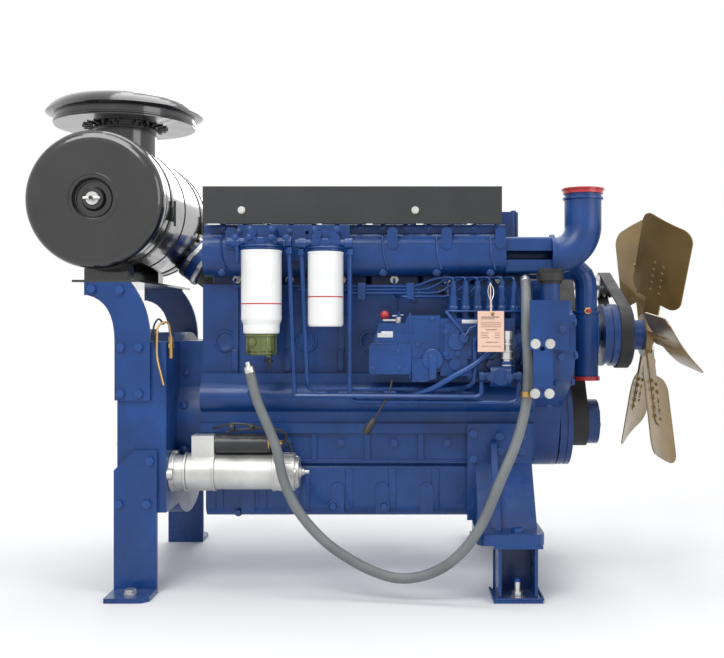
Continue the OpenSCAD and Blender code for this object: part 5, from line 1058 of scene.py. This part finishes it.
class ENGINE_OT_pump(bpy.types.Operator):
    """Adds unions, side cover, plates and links to the injection pump and governor"""

    bl_idname = "engine.pump"
    bl_label = "Pump Trim"

    def execute(self, context):
        bm = bmesh.new()
        for k in range(6):
            at = (884 + 32 * k, -270, 0)
            lathe(bm, [(12.2, 321), (14.2, 322), (14.6, 328), (13, 331), (12.2, 331), (12.2, 321)],
                  at, UP, 24)
            lathe(bm, [(0, 340), (11.5, 340), (12.4, 341), (12.4, 350), (11.5, 351), (0, 351)],
                  at, UP, 6)
            lathe(bm, [(0, 366), (9.6, 366), (10, 367), (10, 381), (8.6, 383), (4.6, 384),
                       (0, 384)], at, UP, 6, 0.2 * k)
        brick(bm, (866, -300, 314), (1062, -244, 319), 1.5)
        cover = [(0, -1), (21, -1), (22, 0), (22, 4), (20.5, 5.5), (12, 6), (0, 6)]
        for x, z, profile, sides in (
                (889, 236, cover, 32), (957, 236, cover, 32), (1025, 236, cover, 32),
                (905, 180, [(0, -3), (17, -3), (17, 7), (15, 9), (0, 9)], 28),
                (978, 178, [(0, -3), (14, -3), (14, 10), (12.5, 12), (0, 12)], 6)):
            lathe(bm, profile, seat("injection_pump", (x, 0, z), NEAR), OUT, sides)
        link = [(862, -306, 316), (880, -318, 292), (906, -322, 262), (908, -322, 250)]
        sweep(bm, rounded_line(link, 14), 4.2)
        lathe(bm, [(0, -4), (12, -4), (13, -3), (13, 6), (11.5, 8), (0, 8)],
              (908, -322, 246), OUT, 24)
        sweep(bm, [(908, -328, 246), (924, -328, 272), (938, -326, 276)], 3.6)
        at = seat("governor", (828, 0, 190), NEAR)
        lathe(bm, [(0, -2), (27, -2), (28, 0), (28, 10), (26, 12), (9, 12), (8, 10), (0, 10)],
              at, OUT, 36)
        brick(bm, (818, at.y - 17, 138), (838, at.y - 11, 204), 3)
        piece("pump_unions", bm, "blue_small")
        bm = bmesh.new()
        for at in met("governor", [(700, 0, 262)], NEAR):
            brick(bm, (684, at.y - 0.8, 248), (724, at.y + 0.4, 264), 0.3)
        at = seat("rocker_covers", (292, 0, 0), TOP)
        brick(bm, (268, -22, at.z - 0.2), (316, 22, at.z + 0.7), 0.25)
        for at in met("injection_pump", [(925, 0, 285)], NEAR):
            brick(bm, (904, at.y - 0.7, 278), (944, at.y + 0.4, 294), 0.25)
        piece("bare_plates", bm, "bare_plate")
        bm = bmesh.new()
        y = seat("governor", (706, 0, 190), NEAR).y
        brick(bm, (668, y - 1.8, 229), (742, y + 2, 233), 1)
        y = seat("governor", (780, 0, 280), NEAR).y
        brick(bm, (766, y - 2, 142), (771, y + 3, 312), 1.2)
        piece("governor_ribs", bm, "blue_sheet")
        bm = bmesh.new()
        for z in range(175, 247, 18):
            lathe(bm, [(16.4, z), (17.2, z + 1), (17.2, z + 3), (16.4, z + 4), (16.4, z)],
                  (1018, -339, 0), UP, 32)
        piece("primer_grips", bm, "bright_steel", "primer")
        bm = bmesh.new()
        lathe(bm, [(0, 296), (7, 296), (7, 304), (5, 305.5), (0, 305.5)], (740, -258, 0), UP, 6)
        lathe(bm, [(0, 0), (2.2, 0), (2.2, 30), (0, 30)], (722, -262, 304), (1, 0.25, 0.1), 10)
        piece("lever_nut", bm, "bright_steel", "lever")
        return {"FINISHED"}


class ENGINE_OT_wiring(bpy.types.Operator):
    """Lays the sensor lead, the stop lead with its connector, the sender and clips"""

    bl_idname = "engine.wiring"
    bl_label = "Wiring"

    def execute(self, context):
        leads = [smooth_line(line, 8) for line in (
            [(722, -300, 136), (716, -305, 112), (704, -312, 84), (686, -316, 52), (676, -318, 34)],
            [(124, -292, 282), (112, -300, 296), (100, -302, 276), (100, -300, 236),
             (112, -296, 206), (130, -292, 196)],
            [(862, -176, 372), (900, -200, 366), (950, -214, 352), (1000, -216, 330),
             (1040, -214, 300)])]
        grow("thin_leads", "strands", line_mesh(leads), "wire_black", Radius=sizes().wire_r,
             Sides=10)
        bm = bmesh.new()
        lathe(bm, [(0, 0), (6, 0), (7.5, 2), (8.5, 12), (10.5, 16), (10.5, 42), (9, 44), (0, 44)],
              (676, -318, 36), (-0.55, -0.05, -0.85), 12)
        brick(bm, (648, -327, -4), (660, -309, 6), 1.6)
        lathe(bm, [(0, 0), (8, 0), (9, 1), (9, 15), (7, 17), (0, 17)], (864, -174, 373),
              (-0.8, 0.4, 0.1), 14)
        piece("plugs", bm, "black_plastic")
        fat = smooth_line([(702, -262, 88), (760, -292, 92), (820, -318, 112), (880, -334, 148),
                           (930, -338, 176), (968, -330, 204), (986, -318, 218)], 8)
        bm = bmesh.new()
        sweep(bm, fat, 7.5, 14)
        for i, back in ((0, 3), (-1, -4)):
            way = (fat[i] - fat[back]).normalized()
            lathe(bm, [(0, -16), (9, -16), (10, -14), (10, 2), (8, 4), (8, 8), (0, 8)],
                  fat[i], way, 12)
        piece("drain_pipe", bm, "blue_small")
        at = seat("water_pump", (1266, -82, 320), NEAR) or Vector((1266, -116, 320))
        for name, profile, sides, finish in (
                ("sender", [(0, -4), (8, -4), (8, 8), (10, 8), (10, 16), (6, 17), (6, 24), (0, 24)],
                 6, "brass"),
                ("sender_cap", [(0, 22), (5, 22), (6, 23), (6, 36), (4, 38), (0, 38)],
                 20, "red_plastic")):
            bm = bmesh.new()
            lathe(bm, profile, at, OUT, sides)
            piece(name, bm, finish)
        return {"FINISHED"}


class ENGINE_OT_tag(bpy.types.Operator):
    """Rules the card, adds its eyelet and the twisted wire tie"""

    bl_idname = "engine.tag"
    bl_label = "Hang Tag"

    def execute(self, context):
        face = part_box("hang_tag")[0][1] / MM - 0.15
        bm = bmesh.new()
        rows = [(300, 950, 996, 1.5), (296, 950, 984, 0.9), (286, 949, 1000, 0.6),
                (281, 949, 1000, 0.6), (276, 949, 1000, 0.6), (268, 962, 990, 1.1),
                (260, 949, 970, 0.6), (260, 984, 998, 0.6), (254, 949, 966, 0.6),
                (254, 984, 998, 0.6), (248, 949, 970, 0.6), (248, 984, 998, 0.6),
                (236, 962, 994, 0.9), (226, 949, 1000, 0.5)]
        for z, x0, x1, h in rows:
            brick(bm, (x0, face - 0.1, z), (x1, face + 0.25, z + h), 0)
        piece("tag_rules", bm, "print_ink")
        top, low = Vector((980, -285, 391)), Vector((975, -358.5, 312))
        knot = 0.62
        lines = []
        for phase in (0, math.pi):
            line = []
            for k in range(61):
                t = k / 60
                wide = 7.5 * math.sin(math.pi * min(1, t * 1.6)) if t < knot else 1.3
                a = phase if t < knot else phase + (t - knot) * 60
                p = top.lerp(low, t) + Vector((0, -10 * math.sin(math.pi * t), 0))
                line.append(p + wide * Vector((math.cos(a), 0.4 * math.sin(a), 0)))
            lines.append(line)
        grow("tag_wire", "strands", line_mesh(lines), "bright_steel", Radius=0.0011,
             Sides=8)
        bm = bmesh.new()
        ring(bm, 2.6, 4.6, 358.4, 361.2, (979, 0, 309), OUT, 24, 0.4)
        piece("tag_eyelet", bm, "brass")
        return {"FINISHED"}


class ENGINE_OT_welds(bpy.types.Operator):
    """Lays weld beads round the feet of the front supports"""

    bl_idname = "engine.welds"
    bl_label = "Welds"

    def execute(self, context):
        lines = []
        for s in (-1, 1):
            lines += [[(x, s * 292, -408), (x, s * 402, -408)] for x in (978, 1102)]
            lines.append([(984, s * 403, -408), (1096, s * 403, -408)])
        grow("weld_beads", "beads", line_mesh(lines), "blue_cast", Step=0.0034,
             Width=0.0034, Seed=5)
        return {"FINISHED"}


class ENGINE_OT_duct(bpy.types.Operator):
    """Adds a rim under the cap of the intake elbow"""

    bl_idname = "engine.duct"
    bl_label = "Elbow Rim"

    def execute(self, context):
        bm = bmesh.new()
        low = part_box("intake_cap")[0][2] / MM
        ring(bm, 49, 55, low - 16, low - 9, (1243, -177.3, 0), UP, 64, 1.2)
        piece("elbow_rim", bm, "blue_small")
        return {"FINISHED"}


# ---- Stage -----------------------------------------------------------------------------


def seen_rays(tree):
    """1 for rays that show the room straight, mirrored or through glass, and 0 for its light."""
    rays = tree.nodes.new("ShaderNodeLightPath").outputs
    direct = calc(tree, "MAXIMUM", rays["Is Camera Ray"], rays["Is Glossy Ray"])
    return calc(tree, "MAXIMUM", direct, rays["Is Transmission Ray"])


def mix_shaders(tree, factor, a, b):
    fade = tree.nodes.new("ShaderNodeMixShader")
    for i, socket in enumerate((factor, a.outputs[0], b.outputs[0])):
        plug(tree, socket, fade.inputs[i])
    return fade.outputs[0]


class ENGINE_OT_stage(bpy.types.Operator):
    """Pale floor, pale room and soft lamps"""

    bl_idname = "engine.stage"
    bl_label = "Stage"

    def execute(self, context):
        floor_look = bpy.data.materials.new("pale_floor")
        floor_look.use_nodes = True
        tree = floor_look.node_tree
        shader = tree.nodes["Principled BSDF"]
        at = object_place(tree)
        shade = ramp(tree, noise(tree, at, 1.4), 0.3, 0.7, 0.9, 0.93)
        grey = node(tree, "ShaderNodeCombineColor", i0=shade, i1=shade, i2=shade).outputs[0]
        plug(tree, grey, shader.inputs["Base Color"])
        shader.inputs["Roughness"].default_value = 0.75
        away = node(tree, "ShaderNodeVectorMath", {"operation": "DISTANCE"}, i0=at,
                    i1=(0.6, 0.0, FLOOR_Z)).outputs["Value"]
        white = node(tree, "ShaderNodeEmission", Color=(1, 1, 1, 1), Strength=1.0)
        far = calc(tree, "MULTIPLY", ramp(tree, away, 1.0, 2.3), seen_rays(tree))
        end = next(n for n in tree.nodes if n.type == "OUTPUT_MATERIAL")
        plug(tree, mix_shaders(tree, far, shader, white), end.inputs[0])
        mesh = bpy.data.meshes.new("floor")
        wide, below = 14.0, FLOOR_Z - 0.0005
        corners = ((-wide, -wide), (wide, -wide), (wide, wide), (-wide, wide))
        mesh.from_pydata([(x, y, below) for x, y in corners], [], [(0, 1, 2, 3)])
        mesh.materials.append(floor_look)
        floor = bpy.data.objects.new("floor", mesh)
        context.scene.collection.objects.link(floor)

        world = bpy.data.worlds.new("pale_room")
        context.scene.world = world
        world.use_nodes = True
        tree = world.node_tree
        tree.nodes.clear()
        lit = node(tree, "ShaderNodeBackground", Color=(0.93, 0.95, 1.0, 1), Strength=0.45)
        shown = node(tree, "ShaderNodeBackground", Color=(1, 1, 1, 1), Strength=1.0)
        plug(tree, mix_shaders(tree, seen_rays(tree), lit, shown),
             tree.nodes.new("ShaderNodeOutputWorld").inputs[0])

        for name, place, aim, width, power in (
                ("key", (-0.6, -3.0, 3.0), (0.6, 0, 0.2), 2.2, 90),
                ("fill", (3.4, -2.2, 1.6), (0.8, 0, 0.1), 2.0, 34),
                ("top", (0.6, 0.2, 3.4), (0.6, 0, 0.0), 2.2, 55),
                ("back", (0.4, 3.0, 2.2), (0.6, 0, 0.2), 2.2, 50)):
            data = bpy.data.lights.new(name, "AREA")
            data.size, data.energy = width, power
            lamp = bpy.data.objects.new(name, data)
            lamp.location = place
            lamp.rotation_euler = (Vector(aim) - Vector(place)).to_track_quat("-Z", "Y").to_euler()
            context.scene.collection.objects.link(lamp)
        context.scene.view_settings.view_transform = "Standard"
        return {"FINISHED"}


# ---- Panel and registration ------------------------------------------------------------


STEPS = (
    ENGINE_OT_camera,
    ENGINE_OT_finishes,
    ENGINE_OT_hose,
    ENGINE_OT_screws,
    ENGINE_OT_block,
    ENGINE_OT_cleaner,
    ENGINE_OT_filters,
    ENGINE_OT_fan,
    ENGINE_OT_starter,
    ENGINE_OT_pump,
    ENGINE_OT_wiring,
    ENGINE_OT_tag,
    ENGINE_OT_welds,
    ENGINE_OT_duct,
    ENGINE_OT_stage,
)


class ENGINE_PT_panel(bpy.types.Panel):
    bl_label = "Diesel Engine"
    bl_idname = "ENGINE_PT_panel"
    bl_space_type = "VIEW_3D"
    bl_region_type = "UI"
    bl_category = "Engine"

    def draw(self, context):
        for group in (context.scene.engine_colours, context.scene.engine_sizes):
            for key in group.__annotations__:
                self.layout.prop(group, key)
        for step in STEPS:
            self.layout.operator(step.bl_idname)


CLASSES = (EngineColours, EngineSizes, *STEPS, ENGINE_PT_panel)


def register():
    for one in CLASSES:
        bpy.utils.register_class(one)
    bpy.types.Scene.engine_colours = bpy.props.PointerProperty(type=EngineColours)
    bpy.types.Scene.engine_sizes = bpy.props.PointerProperty(type=EngineSizes)


def unregister():
    del bpy.types.Scene.engine_colours
    del bpy.types.Scene.engine_sizes
    for one in reversed(CLASSES):
        bpy.utils.unregister_class(one)


def main():
    register()
    for step in STEPS:
        group, name = step.bl_idname.split(".")
        getattr(getattr(bpy.ops, group), name)()


if __name__ == "__main__":
    main()
